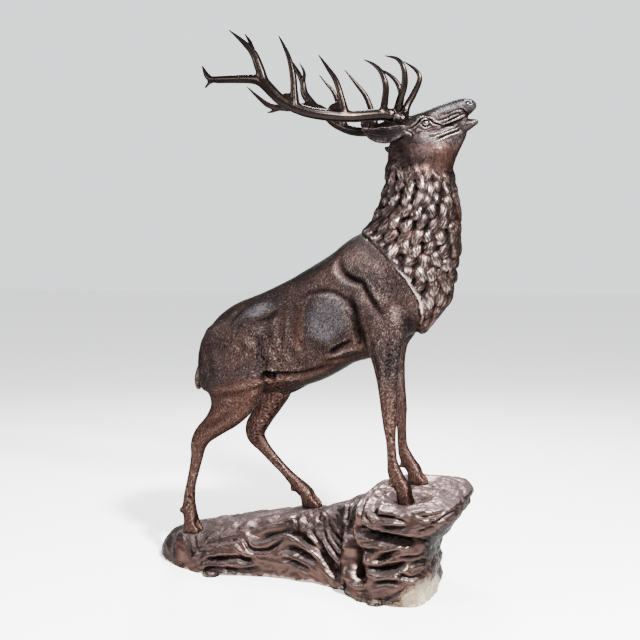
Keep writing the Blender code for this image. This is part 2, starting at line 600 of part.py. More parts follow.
# Creases between the folds of the rock's near side, drawn in metres as (x, z) on a rock of the drawn
# size, then half width and depth in folds
ROCK_CREASES = [
    ([(-0.321, 0.195), (-0.246, 0.186), (-0.183, 0.212), (-0.120, 0.229), (0.003, 0.197), (0.104, 0.138)],
     0.5, 0.9),
    ([(-0.331, 0.189), (-0.299, 0.156), (-0.246, 0.125), (-0.193, 0.132), (-0.120, 0.188)], 0.4, 0.7),
    ([(-0.507, 0.063), (-0.386, 0.082), (-0.289, 0.077), (-0.246, 0.097)], 0.5, 0.8),
    ([(-0.136, 0.134), (-0.089, 0.146), (-0.002, 0.130), (0.094, 0.113)], 0.7, 1.0),
    ([(-0.131, 0.085), (-0.043, 0.088), (0.054, 0.061)], 0.4, 0.6),
    ([(0.079, 0.177), (0.129, 0.122), (0.169, 0.080), (0.213, 0.058)], 0.9, 1.5),
    ([(0.014, 0.250), (0.054, 0.212), (0.134, 0.141)], 0.4, 0.7),
    ([(0.084, 0.253), (0.134, 0.202), (0.228, 0.129)], 0.4, 0.7),
    ([(0.094, 0.287), (0.183, 0.231), (0.228, 0.213)], 0.4, 0.6),
    ([(-0.652, 0.174), (-0.624, 0.127), (-0.568, 0.088)], 0.4, 0.5),
    ([(0.302, 0.451), (0.314, 0.385), (0.314, 0.312)], 0.5, 0.9),
    ([(0.364, 0.439), (0.397, 0.402), (0.452, 0.393), (0.508, 0.386), (0.553, 0.377)], 0.5, 0.8),
    ([(0.661, 0.371), (0.706, 0.402), (0.749, 0.426)], 0.5, 0.8),
    ([(0.314, 0.339), (0.359, 0.308), (0.425, 0.301), (0.490, 0.293), (0.608, 0.275)], 0.8, 1.9),
    ([(0.235, 0.313), (0.264, 0.270), (0.293, 0.228)], 0.8, 1.6),
    ([(0.300, 0.220), (0.293, 0.178), (0.312, 0.135), (0.332, 0.096)], 1.1, 2.7),
    ([(0.364, 0.150), (0.435, 0.156), (0.490, 0.168), (0.532, 0.193)], 0.6, 1.2),
    ([(0.364, 0.179), (0.472, 0.226), (0.626, 0.253)], 0.5, 0.6),
    ([(0.398, 0.091), (0.463, 0.108), (0.509, 0.103)], 0.4, 0.6),
]


def folds(points, normals):
    """The rock's carved folds, a slow wave between them, and the plainer far side."""
    x, y, z = points.T
    steep = np.clip(1.25 - np.abs(normals[:, 2]), 0.15, 1)
    bend = 0.05 * np.sin(x * 7.5 + 0.6) + 0.03 * np.sin(x * 17 + y * 6) + 0.10 * y
    wave = np.abs(np.sin(math.pi * (z + bend) / FOLD_PITCH)) ** 0.7 - 0.6
    wave *= np.where((y < 0) & (normals[:, 1] < -0.5), 0.3, 1.0)
    chop = 0.5 * np.sin(x * 31 + z * 22 + 3 * np.sin(y * 9)) * np.sin(y * 23 + z * 17)
    raised = (0.35 * wave + 0.25 * chop) * steep
    side = np.clip(0.5 + np.abs(normals[:, 1]), 0, 1) * np.where(y < 0, 1.0, 0.6) * (np.abs(y) > 0.03)
    for path, width, depth in ROCK_CREASES:
        line = [(along * ROCK_LENGTH / DRAWN_ROCK, up * LEDGE_HEIGHT / DRAWN_LEDGE) for along, up in path]
        raised -= depth * side * steep * near_path(x, z, line, width * FOLD_PITCH * 0.35)
    return FOLD_DEPTH * raised


def lugs():
    """Half-round anchoring lugs that lie on the ground at the near edge."""
    made = []
    for x, y in ((-0.300 * ROCK_LENGTH, -0.435 * ROCK_WIDTH), (0.265 * ROCK_LENGTH, -0.545 * ROCK_WIDTH)):
        bm = bmesh.new()
        bmesh.ops.create_cone(bm, cap_ends=True, segments=24, radius1=LUG_RADIUS, radius2=LUG_RADIUS * 0.9,
                              depth=LUG_HEIGHT * 2)
        bmesh.ops.translate(bm, verts=bm.verts, vec=(x, y, 0))
        made.append(new_object("lug", bm))
    return made


def rock_base():
    bm = bmesh.new()
    ledge_block(bm)
    slab(bm)
    bmesh.ops.recalc_face_normals(bm, faces=bm.faces)
    made = voxels(new_object("rock_base", bm), ROCK_VOXEL)
    relax(made, np.ones(len(made.data.vertices)), 6)
    points = points_of(made)
    normals = normals_of(made)
    x, y, z = points.T
    points[:, 2] += ledge_slope(x, y) * np.clip(z / LEDGE_HEIGHT, 0, 1) ** 3
    in_ledge = np.clip(4 * x / ROCK_LENGTH - 0.5, 0, 1)
    near_ground = np.clip(1.6 - 2 * z / LEDGE_HEIGHT, 0.3, 1)
    points[:, 0] -= FOOT_TURN * y * in_ledge * near_ground
    points += normals * folds(points, normals)[:, None]
    # the rock swells up round each hoof, and the seat is then cut flat
    for x, y, seat in HOOVES.values():
        reach = np.hypot(points[:, 0] - x, points[:, 1] - y) / SEAT_RADIUS
        pull = np.clip(1.9 - reach, 0, 1) * (points[:, 2] > seat - 0.12) * (normals[:, 2] > 0)
        points[:, 2] += (seat + SEAT_DEPTH - points[:, 2]) * pull
    move_points(made, points)
    thin_out(voxels(made, ROCK_VOXEL), ROCK_TRIANGLES)
    for lug in lugs():
        boolean(made, lug, "UNION")
    wide = 2 * ROCK_LENGTH
    boolean(made, block("ground", (0, 0, -wide / 4), (wide, wide, wide / 2)), "DIFFERENCE")
    for x, y, seat in HOOVES.values():
        bm = bmesh.new()
        bmesh.ops.create_cone(bm, cap_ends=True, segments=20, radius1=SEAT_RADIUS, radius2=SEAT_RADIUS * 1.1,
                              depth=0.12)
        bmesh.ops.translate(bm, verts=bm.verts, vec=(x, y, seat + 0.06))
        boolean(made, new_object("seat_cut", bm), "DIFFERENCE")
    return made


def bronze(name, colour, roughness):
    material = bpy.data.materials.new(name)
    material.use_nodes = True
    shader = material.node_tree.nodes["Principled BSDF"]
    shader.inputs["Base Color"].default_value = (*colour, 1)
    shader.inputs["Roughness"].default_value = roughness
    shader.inputs["Metallic"].default_value = 1.0
    return material


def main():
    for old in list(bpy.data.objects):
        bpy.data.objects.remove(old)
    figure = stag()
    figure.data.materials.append(bronze("stag_bronze", (0.115, 0.060, 0.042), 0.36))
    base = rock_base()
    base.data.materials.append(bronze("rock_bronze", (0.120, 0.070, 0.052), 0.34))
    for made in (figure, base):
        made.data.shade_smooth()
        made.data.set_sharp_from_angle(angle=math.radians(35))


main()
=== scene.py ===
# A life-size stag in cast bronze on a cast rock: the finish and the fine carving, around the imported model.
# Metres, +Z up, the stag looks along +X and its left side is at +Y. The tables of stations, swells and
# drawn lines are in millimetres.
import math

import bmesh
import bpy
import numpy as np
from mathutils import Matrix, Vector, noise


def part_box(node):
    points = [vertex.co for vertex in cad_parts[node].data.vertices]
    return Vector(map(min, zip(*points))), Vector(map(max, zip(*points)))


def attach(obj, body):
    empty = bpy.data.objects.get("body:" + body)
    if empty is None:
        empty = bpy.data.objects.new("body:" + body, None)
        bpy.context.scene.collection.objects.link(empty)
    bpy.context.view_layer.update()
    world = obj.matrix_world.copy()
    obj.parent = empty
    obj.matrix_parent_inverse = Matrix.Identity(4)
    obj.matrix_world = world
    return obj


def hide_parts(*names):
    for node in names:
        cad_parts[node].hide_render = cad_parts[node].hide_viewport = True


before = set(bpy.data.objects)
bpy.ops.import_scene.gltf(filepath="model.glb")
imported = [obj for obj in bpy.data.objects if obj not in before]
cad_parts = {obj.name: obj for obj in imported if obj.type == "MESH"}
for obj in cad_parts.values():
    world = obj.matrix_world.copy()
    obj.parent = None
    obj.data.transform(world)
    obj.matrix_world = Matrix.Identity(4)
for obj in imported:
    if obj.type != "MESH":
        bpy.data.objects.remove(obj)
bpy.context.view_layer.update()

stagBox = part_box("stag")
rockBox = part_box("rock_base")
print("stage 1: packed model loaded")

# Sizes shared by the pieces
figure = {
    "ledgeTop": 0.43,          # mean height of the ledge under the fore hooves
    "drawnLedge": 0.43,        # the same in the stations below
    "scale": 1.0,              # of the stations
    "antlerSpread": 1.0,       # widens or narrows both antlers
    "foreStep": 0.014,         # far fore hoof above, near fore hoof below the mean height
    "farSlabTop": 0.275,
}
slabTop = stagBox[0][2]        # the near hind sole is the figure's lowest point
scale = figure["scale"]
hooves = {
    "nearFore": (0.500 * scale, -0.170 * scale, figure["ledgeTop"] - figure["foreStep"]),
    "farFore": (0.463 * scale, 0.130 * scale, figure["ledgeTop"] + figure["foreStep"] * 0.8),
    "nearHind": (-0.630 * scale, -0.150 * scale, slabTop),
    "farHind": (-0.095 * scale, 0.130 * scale, figure["farSlabTop"]),
}


def lift(z):
    return figure["ledgeTop"] + (z - figure["drawnLedge"]) * scale


def metres(sizes):
    # a table in millimetres, of any depth, in metres
    return [metres(size) for size in sizes] if isinstance(sizes, (list, tuple)) else sizes / 1000


# Mesh tools

def newPiece(name, bm):
    mesh = bpy.data.meshes.new(name)
    bm.to_mesh(mesh)
    bm.free()
    piece = bpy.data.objects.new(name, mesh)
    bpy.context.scene.collection.objects.link(piece)
    return piece


def voxels(piece, size):
    # an even new skin round the piece
    remesh = piece.modifiers.new("voxels", "REMESH")
    remesh.mode, remesh.voxel_size, remesh.adaptivity = "VOXEL", size, 0
    bpy.context.view_layer.update()
    graph = bpy.context.evaluated_depsgraph_get()
    mesh = bpy.data.meshes.new_from_object(piece.evaluated_get(graph))
    piece.modifiers.clear()
    old, piece.data = piece.data, mesh
    bpy.data.meshes.remove(old)
    return piece


def moulded(name, bm, size):
    # one skin round all that the bmesh holds
    bmesh.ops.recalc_face_normals(bm, faces=bm.faces)
    return voxels(newPiece(name, bm), size)


def readPoints(piece, what="co"):
    flat = np.empty(len(piece.data.vertices) * 3)
    piece.data.vertices.foreach_get(what, flat)
    return flat.reshape(-1, 3)


def movePoints(piece, points):
    piece.data.vertices.foreach_set("co", points.ravel())
    piece.data.update()


def readEdges(piece):
    flat = np.empty(len(piece.data.edges) * 2, dtype=np.int32)
    piece.data.edges.foreach_get("vertices", flat)
    return flat.reshape(-1, 2)


def evenOut(values, edges, rounds, weights=0.5):
    # moves each row of numbers towards the mean of its neighbours on the mesh
    count = len(values)
    ends = np.concatenate([edges[:, 0], edges[:, 1]])
    others = np.concatenate([edges[:, 1], edges[:, 0]])
    share = np.maximum(np.bincount(ends, minlength=count), 1)
    table = values.reshape(count, -1).copy()
    pull = np.broadcast_to(weights, (count,))
    for _ in range(rounds):
        for column in range(table.shape[1]):
            mean = np.bincount(ends, table[others, column], minlength=count) / share
            table[:, column] += pull * (mean - table[:, column])
    return table.reshape(values.shape)


def settle(piece, rounds, weights=0.5):
    movePoints(piece, evenOut(readPoints(piece), readEdges(piece), rounds, weights))


def ramp(values, start, span, low=0.0, high=1.0):
    # 0 up to the start and 1 from a span further on; below zero the span leads downwards
    return np.clip((values - start) / span, low, high)


def bell(values, middle, width):
    return np.exp(-((values - middle) / width) ** 2)


def smoothStations(stations, steps):
    # a Catmull-Rom curve through rows of numbers
    rows = np.array(stations, dtype=float)
    padded = np.vstack([2 * rows[0] - rows[1], rows, 2 * rows[-1] - rows[-2]])
    out = []
    for i in range(1, len(padded) - 2):
        a, b, c, d = padded[i - 1:i + 3]
        for t in np.arange(steps) / steps:
            out.append(0.5 * (2 * b + (c - a) * t + (2 * a - 5 * b + 4 * c - d) * t ** 2
                              + (3 * b - a - 3 * c + d) * t ** 3))
    out.append(rows[-1])
    return np.array(out)


def loft(bm, stations, segments=32, egg=0.0, square=2.0, steps=6, facing=None):
    # a closed skin through stations (x, y, z, half width across, half depth);
    # egg narrows the side that looks up or forward, square 2 is an ellipse
    rows = smoothStations(stations, steps)
    across = Vector((0, 1, 0))
    last = None
    for i, (x, y, z, halfWidth, halfDepth) in enumerate(rows):
        ahead, behind = rows[min(i + 1, len(rows) - 1)], rows[max(i - 1, 0)]
        along = Vector(facing) if facing else Vector(ahead[:3] - behind[:3]).normalized()
        side = (across - along * across.dot(along)).normalized()
        depth = side.cross(along)
        end = i in (0, len(rows) - 1)
        ring = bmesh.ops.create_circle(bm, cap_ends=end, segments=segments, radius=1.0)["verts"]
        for vert in ring:
            u, v = vert.co.x, vert.co.y
            size = (abs(u) ** square + abs(v) ** square) ** (-1 / square)
            u, v = u * size, v * size
            u *= 1 - egg * v
            vert.co = Vector((x, y, z)) + side * (u * halfWidth) + depth * (v * halfDepth)
        edges = list({edge for vert in ring for edge in vert.link_edges})
        if last:
            bmesh.ops.bridge_loops(bm, edges=last + edges)
        last = edges


def spot(x, y, z):
    return Vector((x * scale, y * scale, lift(z)))


def ball(bm, middle, radii, around=24, upward=16):
    # an ellipsoid, for an eye, a dewclaw or a knob
    for vert in bmesh.ops.create_uvsphere(bm, u_segments=around, v_segments=upward, radius=1.0)["verts"]:
        vert.co = middle + Vector(c * r * scale for c, r in zip(vert.co, radii))


def placed(stations):
    return [(x * scale, y * scale, lift(z), w * scale, d * scale) for x, y, z, w, d in stations]


def drawn(points):
    # points back in the stations' own sizes
    return (points[:, 0] / scale, points[:, 1] / scale,
            figure["drawnLedge"] + (points[:, 2] - figure["ledgeTop"]) / scale)


def lineDistance(x, z, path):
    # distance to a drawn line, and how far along it the nearest point lies, 0 to 1
    nearest, place = np.full(len(x), np.inf), np.zeros(len(x))
    spans = [math.dist(a, b) for a, b in zip(path, path[1:])]
    done = 0.0
    for (x0, z0), (x1, z1), span in zip(path, path[1:], spans):
        dx, dz = x1 - x0, z1 - z0
        t = np.clip(((x - x0) * dx + (z - z0) * dz) / (dx * dx + dz * dz), 0, 1)
        away = np.hypot(x - x0 - t * dx, z - z0 - t * dz)
        place = np.where(away < nearest, (done + t * span) / sum(spans), place)
        nearest = np.minimum(nearest, away)
        done += span
    return nearest, place


def groove(x, z, path, width, lips):
    # 1 in a drawn groove that runs out at both ends, with lips raised beside it
    away, place = lineDistance(x, z, smoothStations(metres(path), 5))
    fade = np.clip(np.minimum(place, 1 - place) * 4 + 0.05, 0, 1) ** 0.7
    lip = lips * np.exp(-((away - 2.2 * width) / (1.2 * width)) ** 2)
    return (np.exp(-(away / width) ** 2) - lip) * fade


def oval(x, z, centre, halfLong, halfWide, tilt, edge):
    # 1 within a tilted oval and 0 outside; the higher the edge, the sharper its rim
    (middleX, middleZ), halfLong, halfWide = metres((centre, halfLong, halfWide))
    c, s = math.cos(math.radians(tilt)), math.sin(math.radians(tilt))
    u = ((x - middleX) * c + (z - middleZ) * s) / halfLong
    v = (-(x - middleX) * s + (z - middleZ) * c) / halfWide
    return np.exp(-(u * u + v * v) ** edge)


def carving(x, z, sizes):
    # how far the drawn swells and creases of a piece stand out, seen from the side
    raised = np.zeros(len(x))
    for centre, halfLong, halfWide, tilt, rise, edge in sizes["swells"]:
        raised += rise / 1000 * oval(x, z, centre, halfLong, halfWide, tilt, edge)
    for path, width, depth, lips in sizes["creases"]:
        depth = depth / 1000 * sizes["creaseDepth"]
        raised -= depth * groove(x, z, path, width / 1000 * sizes["creaseSpread"], lips)
    return raised


def grain(points, stretch, seed=0.0):
    # smooth noise, -1 to 1, read at points that are stretched first
    spots = points * np.array(stretch) + seed
    return np.array([noise.noise(Vector(spot)) for spot in spots])


def closeHoles(bm):
    bmesh.ops.holes_fill(bm, edges=[edge for edge in bm.edges if edge.is_boundary], sides=0)
    bmesh.ops.triangulate(bm, faces=[face for face in bm.faces if len(face.verts) > 4])


def cutAway(piece, keep, size):
    # drops the faces outside the kept points, closes what is left and makes its skin even again
    bm = bmesh.new()
    bm.from_mesh(piece.data)
    bm.verts.ensure_lookup_table()
    gone = [bm.verts[int(i)] for i in np.nonzero(~keep)[0]]
    bmesh.ops.delete(bm, geom=gone, context="VERTS")
    closeHoles(bm)
    bm.to_mesh(piece.data)
    bm.free()
    voxels(piece, size)
    settle(piece, 2)


def note(piece, name, values):
    # keeps numbers on the points, for the finish to read
    kind = "FLOAT" if values.ndim == 1 else "FLOAT_VECTOR"
    layer = piece.data.attributes.new(name, kind, "POINT")
    layer.data.foreach_set("value" if values.ndim == 1 else "vector", values.ravel())


def raisedParts(piece, rounds, span):
    # 0 in a hollow, 0.5 on plain skin, 1 on a crest, judged against an evened skin
    points, normals = readPoints(piece), readPoints(piece, "normal")
    calm = evenOut(points, readEdges(piece), rounds)
    proud = np.sum((points - calm) * normals, axis=1)
    return np.clip(0.5 + proud / span, 0, 1)


def finishPiece(piece, node, material):
    piece.data.shade_smooth()
    piece.data.materials.append(material)
    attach(piece, "root")
    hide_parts(node)
    triangles = sum(len(face.vertices) - 2 for face in piece.data.polygons)
    print(piece.name, triangles, "triangles")


# Shader wires: a sum on wires adds its Math nodes

class Wire:
    def __init__(self, tree, socket=None):
        self.tree, self.socket = tree, socket

    def node(self, kind, settings=None, inputs=None, output=0):
        made = self.tree.nodes.new(kind)
        for name, value in (settings or {}).items():
            setattr(made, name, value)
        for name, value in (inputs or {}).items():
            if isinstance(value, Wire):
                self.tree.links.new(value.socket, made.inputs[name])
            else:
                made.inputs[name].default_value = value
        return Wire(self.tree, made.outputs[output])

    def sums(self, operation, first, second):
        return self.node("ShaderNodeMath", {"operation": operation}, {0: first, 1: second})

    def __add__(self, other):
        return self.sums("ADD", self, other)

    def __radd__(self, other):
        return self.sums("ADD", other, self)

    def __sub__(self, other):
        return self.sums("SUBTRACT", self, other)

    def __rsub__(self, other):
        return self.sums("SUBTRACT", other, self)

    def __mul__(self, other):
        return self.sums("MULTIPLY", self, other)

    def __rmul__(self, other):
        return self.sums("MULTIPLY", other, self)

    def between(self, low, high):
        # 0 below low, 1 above high
        return self.node("ShaderNodeMapRange", {"interpolation_type": "SMOOTHSTEP"},
                         {"Value": self, "From Min": low, "From Max": high})

    def tint(self, first, second):
        # mixes two colours by this value
        colours = [(*c, 1) if isinstance(c, tuple) else c for c in (first, second)]
        return self.node("ShaderNodeMix", {"data_type": "RGBA"}, {0: self, 6: colours[0], 7: colours[1]}, 2)


def noted(wire, name, output="Fac"):
    # what note() kept on the points
    return wire.node("ShaderNodeAttribute", {"attribute_name": name}, output=output)


def mottle(wire, vector, size, detail=3.0, roughness=0.55, distortion=0.0):
    return wire.node("ShaderNodeTexNoise", {}, {"Vector": vector, "Scale": size, "Detail": detail,
                                                "Roughness": roughness, "Distortion": distortion})


def castBronze(name, look):
    # a patinated bronze: dark in the hollows, which is patina and painted shade both, rubbed pale on the
    # crests, with chased strokes, and a painted sheen colour led by a number kept on the points
    material = bpy.data.materials.new(name)
    material.use_nodes = True
    tree = material.node_tree
    shader = tree.nodes["Principled BSDF"]
    wire = Wire(tree)
    place = wire.node("ShaderNodeTexCoord", output="Object")
    raised, paintedSheenAndRed, flow = noted(wire, "raised"), noted(wire, "paintedSheenAndRed"), noted(wire, "flow", "Vector")
    lean = wire.node("ShaderNodeVectorMath", {"operation": "MULTIPLY"}, {0: flow, 1: look["strokes"]})
    strokes = mottle(wire, lean, 1.0, 3.0, 0.55, look["strokeCurl"])
    patches = mottle(wire, place, look["patchSize"], 4.0, 0.6, 0.6)
    specks = mottle(wire, place, look["speckSize"], 3.0, 0.7)
    height = strokes.between(*look["strokeSpan"])
    crest = (raised + (height - 0.5) * look["strokeShade"] + (specks - 0.5) * look["speckShade"]
             + (patches - 0.5) * look["patchShade"])
    warmth = (patches - 0.5) * 1.6 + 0.30 - paintedSheenAndRed * 0.9
    skin = warmth.between(0.0, 1.0).tint(look["brown"], look["red"])
    skin = specks.between(*look["plumSpan"]).tint(skin, look["plum"])
    # painted sheen: a pale tint that stands in for light on tops and rounded forms; a low number leans the
    # colour red instead
    sheen = (paintedSheenAndRed + (specks - 0.5) * 1.2 + (patches - 0.5)).between(*look["paintedSheenSpan"])
    skin = sheen.tint(skin, look["paintedSheen"])
    # the dark colour in the hollows is patina and painted shade both
    colour = crest.between(*look["darkSpan"]).tint(look["dark"], skin)
    colour = crest.between(*look["paleSpan"]).tint(colour, look["pale"])
    gloss = look["roughness"] + (specks - 0.5) * 0.20 + (0.5 - raised) * look["hollowDull"]
    relief = wire.node("ShaderNodeBump", {}, {"Distance": look["strokeDepth"], "Height": height})
    relief = wire.node("ShaderNodeBump", {}, {"Distance": look["speckDepth"], "Height": specks,
                                              "Normal": relief})
    if "worn" in look:
        worn = noted(wire, "worn")
        edge = (worn + (specks - 0.5) * 0.8 + (patches - 0.5) * 1.4).between(*look["wornSpan"])
        colour = edge.tint(colour, (patches + (specks - 0.5)).between(0.4, 0.6).tint(*look["worn"]))
        gloss = gloss + edge * look["wornDull"]
        tree.links.new((look["metallic"] - edge * look["wornBare"]).socket, shader.inputs["Metallic"])
    else:
        shader.inputs["Metallic"].default_value = look["metallic"]
    tree.links.new(colour.socket, shader.inputs["Base Color"])
    tree.links.new(gloss.socket, shader.inputs["Roughness"])
    tree.links.new(relief.socket, shader.inputs["Normal"])
    shader.inputs["Coat Weight"].default_value = look["coat"]
    shader.inputs["Coat Roughness"].default_value = look["coatRoughness"]
    shader.inputs["Specular Tint"].default_value = (*look["rim"], 1)
    return material


# Body stations, shoulder to hoof and nose to tail

trunkSections = [
    # x, top, bottom, half width
    (-642, 1110, 1020, 50), (-606, 1168, 930, 115), (-550, 1222, 880, 165), (-493, 1277, 870, 195),
    (-402, 1329, 868, 212), (-269, 1380, 868, 210), (-150, 1434, 885, 203), (-63, 1480, 915, 212),
    (26, 1528, 948, 226), (110, 1580, 993, 236), (187, 1636, 1036, 238), (283, 1680, 1066, 232),
    (370, 1700, 1120, 224), (450, 1680, 1172, 205), (530, 1600, 1212, 172), (600, 1520, 1290, 120),
    (640, 1460, 1350, 60),
]
neckSections = [
    # height, back, front, half width
    (1190, 360, 540, 90), (1250, 300, 590, 145), (1320, 250, 630, 180), (1400, 225, 668, 205),
    (1480, 205, 684, 216), (1570, 190, 700, 216), (1650, 225, 702, 206), (1730, 282, 700, 194),
    (1800, 308, 694, 180), (1870, 330, 676, 163), (1940, 343, 662, 146), (2000, 350, 672, 128),
    (2050, 352, 698, 106), (2095, 366, 718, 84), (2130, 392, 715, 58),
]
legStations = {
    # x, y, z, half width, half depth, from inside the body down to the coronet
    "nearFore": [
        (370, -120, 1330, 70, 110), (380, -142, 1230, 78, 112), (380, -156, 1140, 66, 90),
        (389, -162, 1060, 50, 68), (399, -166, 960, 42, 49), (404, -168, 880, 37, 41),
        (411, -170, 800, 36, 36), (412, -170, 758, 32, 31), (418, -170, 690, 24, 24),
        (424, -170, 610, 24, 25), (436, -170, 555, 30, 35), (458, -170, 510, 32, 36),
        (478, -170, 480, 36, 40),
    ],
    "farFore": [
        (360, 120, 1330, 70, 110), (352, 130, 1230, 78, 112), (333, 132, 1140, 66, 84),
        (338, 132, 1060, 50, 60), (350, 131, 960, 42, 44), (361, 130, 880, 37, 37),
        (370, 130, 800, 36, 34), (373, 130, 758, 32, 29), (378, 130, 690, 24, 25),
        (382, 130, 620, 24, 26), (396, 130, 570, 30, 34), (420, 130, 530, 32, 35),
        (442, 130, 500, 36, 39),
    ],
    "nearHind": [
        (-400, -90, 1180, 100, 170), (-410, -118, 1050, 100, 195), (-410, -136, 940, 90, 182),
        (-408, -146, 860, 74, 140), (-440, -150, 785, 58, 94), (-499, -152, 722, 47, 64),
        (-563, -152, 668, 40, 52), (-594, -151, 618, 36, 44), (-604, -150, 560, 29, 34),
        (-620, -150, 490, 26, 29), (-638, -150, 420, 25, 27), (-650, -150, 350, 27, 31),
        (-650, -150, 292, 33, 37), (-642, -150, 245, 36, 38),
    ],
    "farHind": [
        (-380, 90, 1180, 100, 170), (-370, 116, 1050, 100, 190), (-340, 130, 940, 90, 160),
        (-325, 134, 870, 74, 118), (-345, 134, 790, 58, 84), (-376, 133, 715, 47, 62),
        (-412, 132, 652, 40, 60), (-412, 131, 602, 36, 52), (-368, 130, 546, 29, 35),
        (-313, 130, 489, 26, 29), (-252, 130, 431, 25, 26), (-202, 130, 384, 28, 31),
        (-161, 130, 348, 34, 37), (-125, 130, 318, 36, 39),
    ],
}


def upright(sections):
    # sections (x, top, bottom, half width) as stations on the middle plane
    return placed([(x, 0, (top + low) / 2, wide, (top - low) / 2) for x, top, low, wide in metres(sections)])


def trunk(bm):
    loft(bm, upright(trunkSections), 56, egg=0.16, square=2.15, facing=(1, 0, 0))


def neck(bm, lowest=0.0):
    # drawn in under the locks of the mane
    stations = []
    for z, back, front, wide in metres(neckSections):
        if z >= lowest:
            under = (mane["lift"] + 0.5 * mane["rise"]) * min(1, max(0, (mane["top"] - z) / 0.12))
            stations.append(((back + front) / 2, 0, z, wide - under, (front - back) / 2 - 0.75 * under))
    loft(bm, placed(stations), 56, egg=-0.14, square=2.1, facing=(0, 0, -1))


def head(bm):
    # x, top, bottom, half width
    skull = [
        (385, 2150, 2040, 50), (420, 2185, 2020, 74), (465, 2194, 2018, 88), (510, 2206, 2030, 89),
        (552, 2219, 2050, 76), (600, 2235, 2084, 60), (650, 2249, 2128, 50), (695, 2257, 2164, 47),
        (728, 2253, 2182, 43), (747, 2246, 2198, 35), (759, 2235, 2211, 22),
    ]
    jaw = [
        (500, 2100, 2030, 58), (561, 2110, 2046, 58), (617, 2125, 2077, 46), (670, 2150, 2092, 38),
        (715, 2164, 2106, 34), (744, 2162, 2124, 30), (762, 2159, 2136, 24), (772, 2157, 2145, 13),
    ]
    # the lips close the mouth behind its open front
    lips = [
        (560, 2190, 2080, 52), (610, 2196, 2092, 47), (655, 2202, 2112, 41), (690, 2200, 2128, 37),
        (712, 2192, 2140, 31), (722, 2182, 2150, 20),
    ]
    for sections, egg in ((skull, 0.12), (jaw, -0.1), (lips, 0.0)):
        loft(bm, upright(sections), 40, egg, facing=(1, 0, 0))
    for side in (-1, 1):
        for (x, y, z), radii in metres(face["knobs"]):
            ball(bm, spot(x, side * y, z), radii)


def ears(bm):
    for side, droop in ((-1, 0.0), (1, face["earDroop"])):
        stations = metres([
            (470, side * 70, 2122, 16, 18), (430, side * 98, 2112, 12, 30),
            (380, side * 128, 2093, 11, 41), (330, side * 152, 2094, 10, 33),
            (292, side * 166, 2110, 9, 18), (272, side * 172, 2123, 7, 7),
        ])
        reach = stations[0][0] - stations[-1][0]
        stations = [(x, y, z - droop * (stations[0][0] - x) / reach, w, d) for x, y, z, w, d in stations]
        loft(bm, placed(stations), 28)


def tailAndSheath(bm):
    tail = [
        (-590, 0, 1060, 40, 30), (-638, 0, 1000, 40, 32), (-666, 0, 945, 38, 26), (-676, 0, 900, 32, 20),
        (-678, 0, 862, 14, 12),
    ]
    sheath = [
        (-60, 0, 965, 40, 40), (-130, 0, 915, 36, 34), (-185, 0, 880, 26, 24), (-205, 0, 866, 20, 18),
    ]
    for stations in (tail, sheath):
        loft(bm, placed(metres(stations)), 24)


feet = {
    "coronet": 0.068,                              # the last station's height above the sole
    "toeAside": 0.023,                             # each toe from the middle of the foot
    "dewclaw": ((-40, 18, -12), (13, 11, 17)),     # its place from the fetlock, and radii
}


def leg(bm, name):
    soleX, soleY, seat = hooves[name]
    rows = metres(legStations[name])
    top = lift(rows[0][2])
    drawnSeat = rows[-1][2] - feet["coronet"]
    reach = (top - seat) / (rows[0][2] - drawnSeat)
    stations = [(x * scale, y * scale, seat + (z - drawnSeat) * reach, w * scale, d * scale)
                for x, y, z, w, d in rows]
    loft(bm, stations, 32)
    x, y, z = stations[-1][:3]
    fetlockX, fetlockY, fetlockZ = stations[-2][:3]
    for side in (-1, 1):
        # a toe widens from the coronet to its flat sole, and a dewclaw stands behind the fetlock
        spread = side * feet["toeAside"] * scale
        toe = [
            (x, y + spread * 0.8, z + 0.012 * scale, 0.019 * scale, 0.030 * scale),
            (x + (soleX - x) * 0.45, y + spread, seat + (z - seat) * 0.45, 0.021 * scale, 0.038 * scale),
            (soleX, soleY + spread, seat + 0.006 * scale, 0.021 * scale, 0.047 * scale),
            (soleX + 0.002 * scale, soleY + spread, seat - 0.012 * scale, 0.021 * scale, 0.048 * scale),
        ]
        loft(bm, toe, 24)
        (back, aside, down), radii = metres(feet["dewclaw"])
        behind = (fetlockX + back * scale, fetlockY + side * aside * scale, fetlockZ + down * scale)
        ball(bm, Vector(behind), radii, 16, 12)


# The mane: an edge over the shoulder, and rows of locks whose tips lie over the next row

mane = {
    "rise": 0.032,             # how far a lock stands off the neck
    "lift": 0.012,             # step of the mane's edge
    "columns": 20,
    "pitch": 0.056,            # one row to the next
    "lockSize": (0.60, 0.57),  # half length and half width of a lock, in columns
    "top": 1.990,              # the neck is drawn in under the locks from here down
    "seam": 1.958,             # the locks come out from under the head's skin here
    "edge": [(1200, 500), (1267, 529), (1333, 534), (1374, 518), (1436, 485),
             (1502, 426), (1570, 366), (1620, 300), (1660, 220), (1700, 100)],
    "edgeWidth": 0.022,
    "brim": 0.007,             # the bead along the edge
    "sunk": 0.022,             # how deep the neck dives under the head's skin
    "voxel": 0.0041,
}


def aheadOfEdge(x, z):
    heights, edges = zip(*metres(mane["edge"]))
    return x - np.interp(z, heights, edges)


def aboveSeam(x, y, z):
    # the locks start higher at the nape than at the throat, along a ragged line
    turn = np.arctan2(y, x - 0.50)
    return z - (mane["seam"] - 0.026 * np.cos(turn) + 0.010 * np.sin(5 * turn + 1)
                + 0.006 * np.sin(11 * turn))


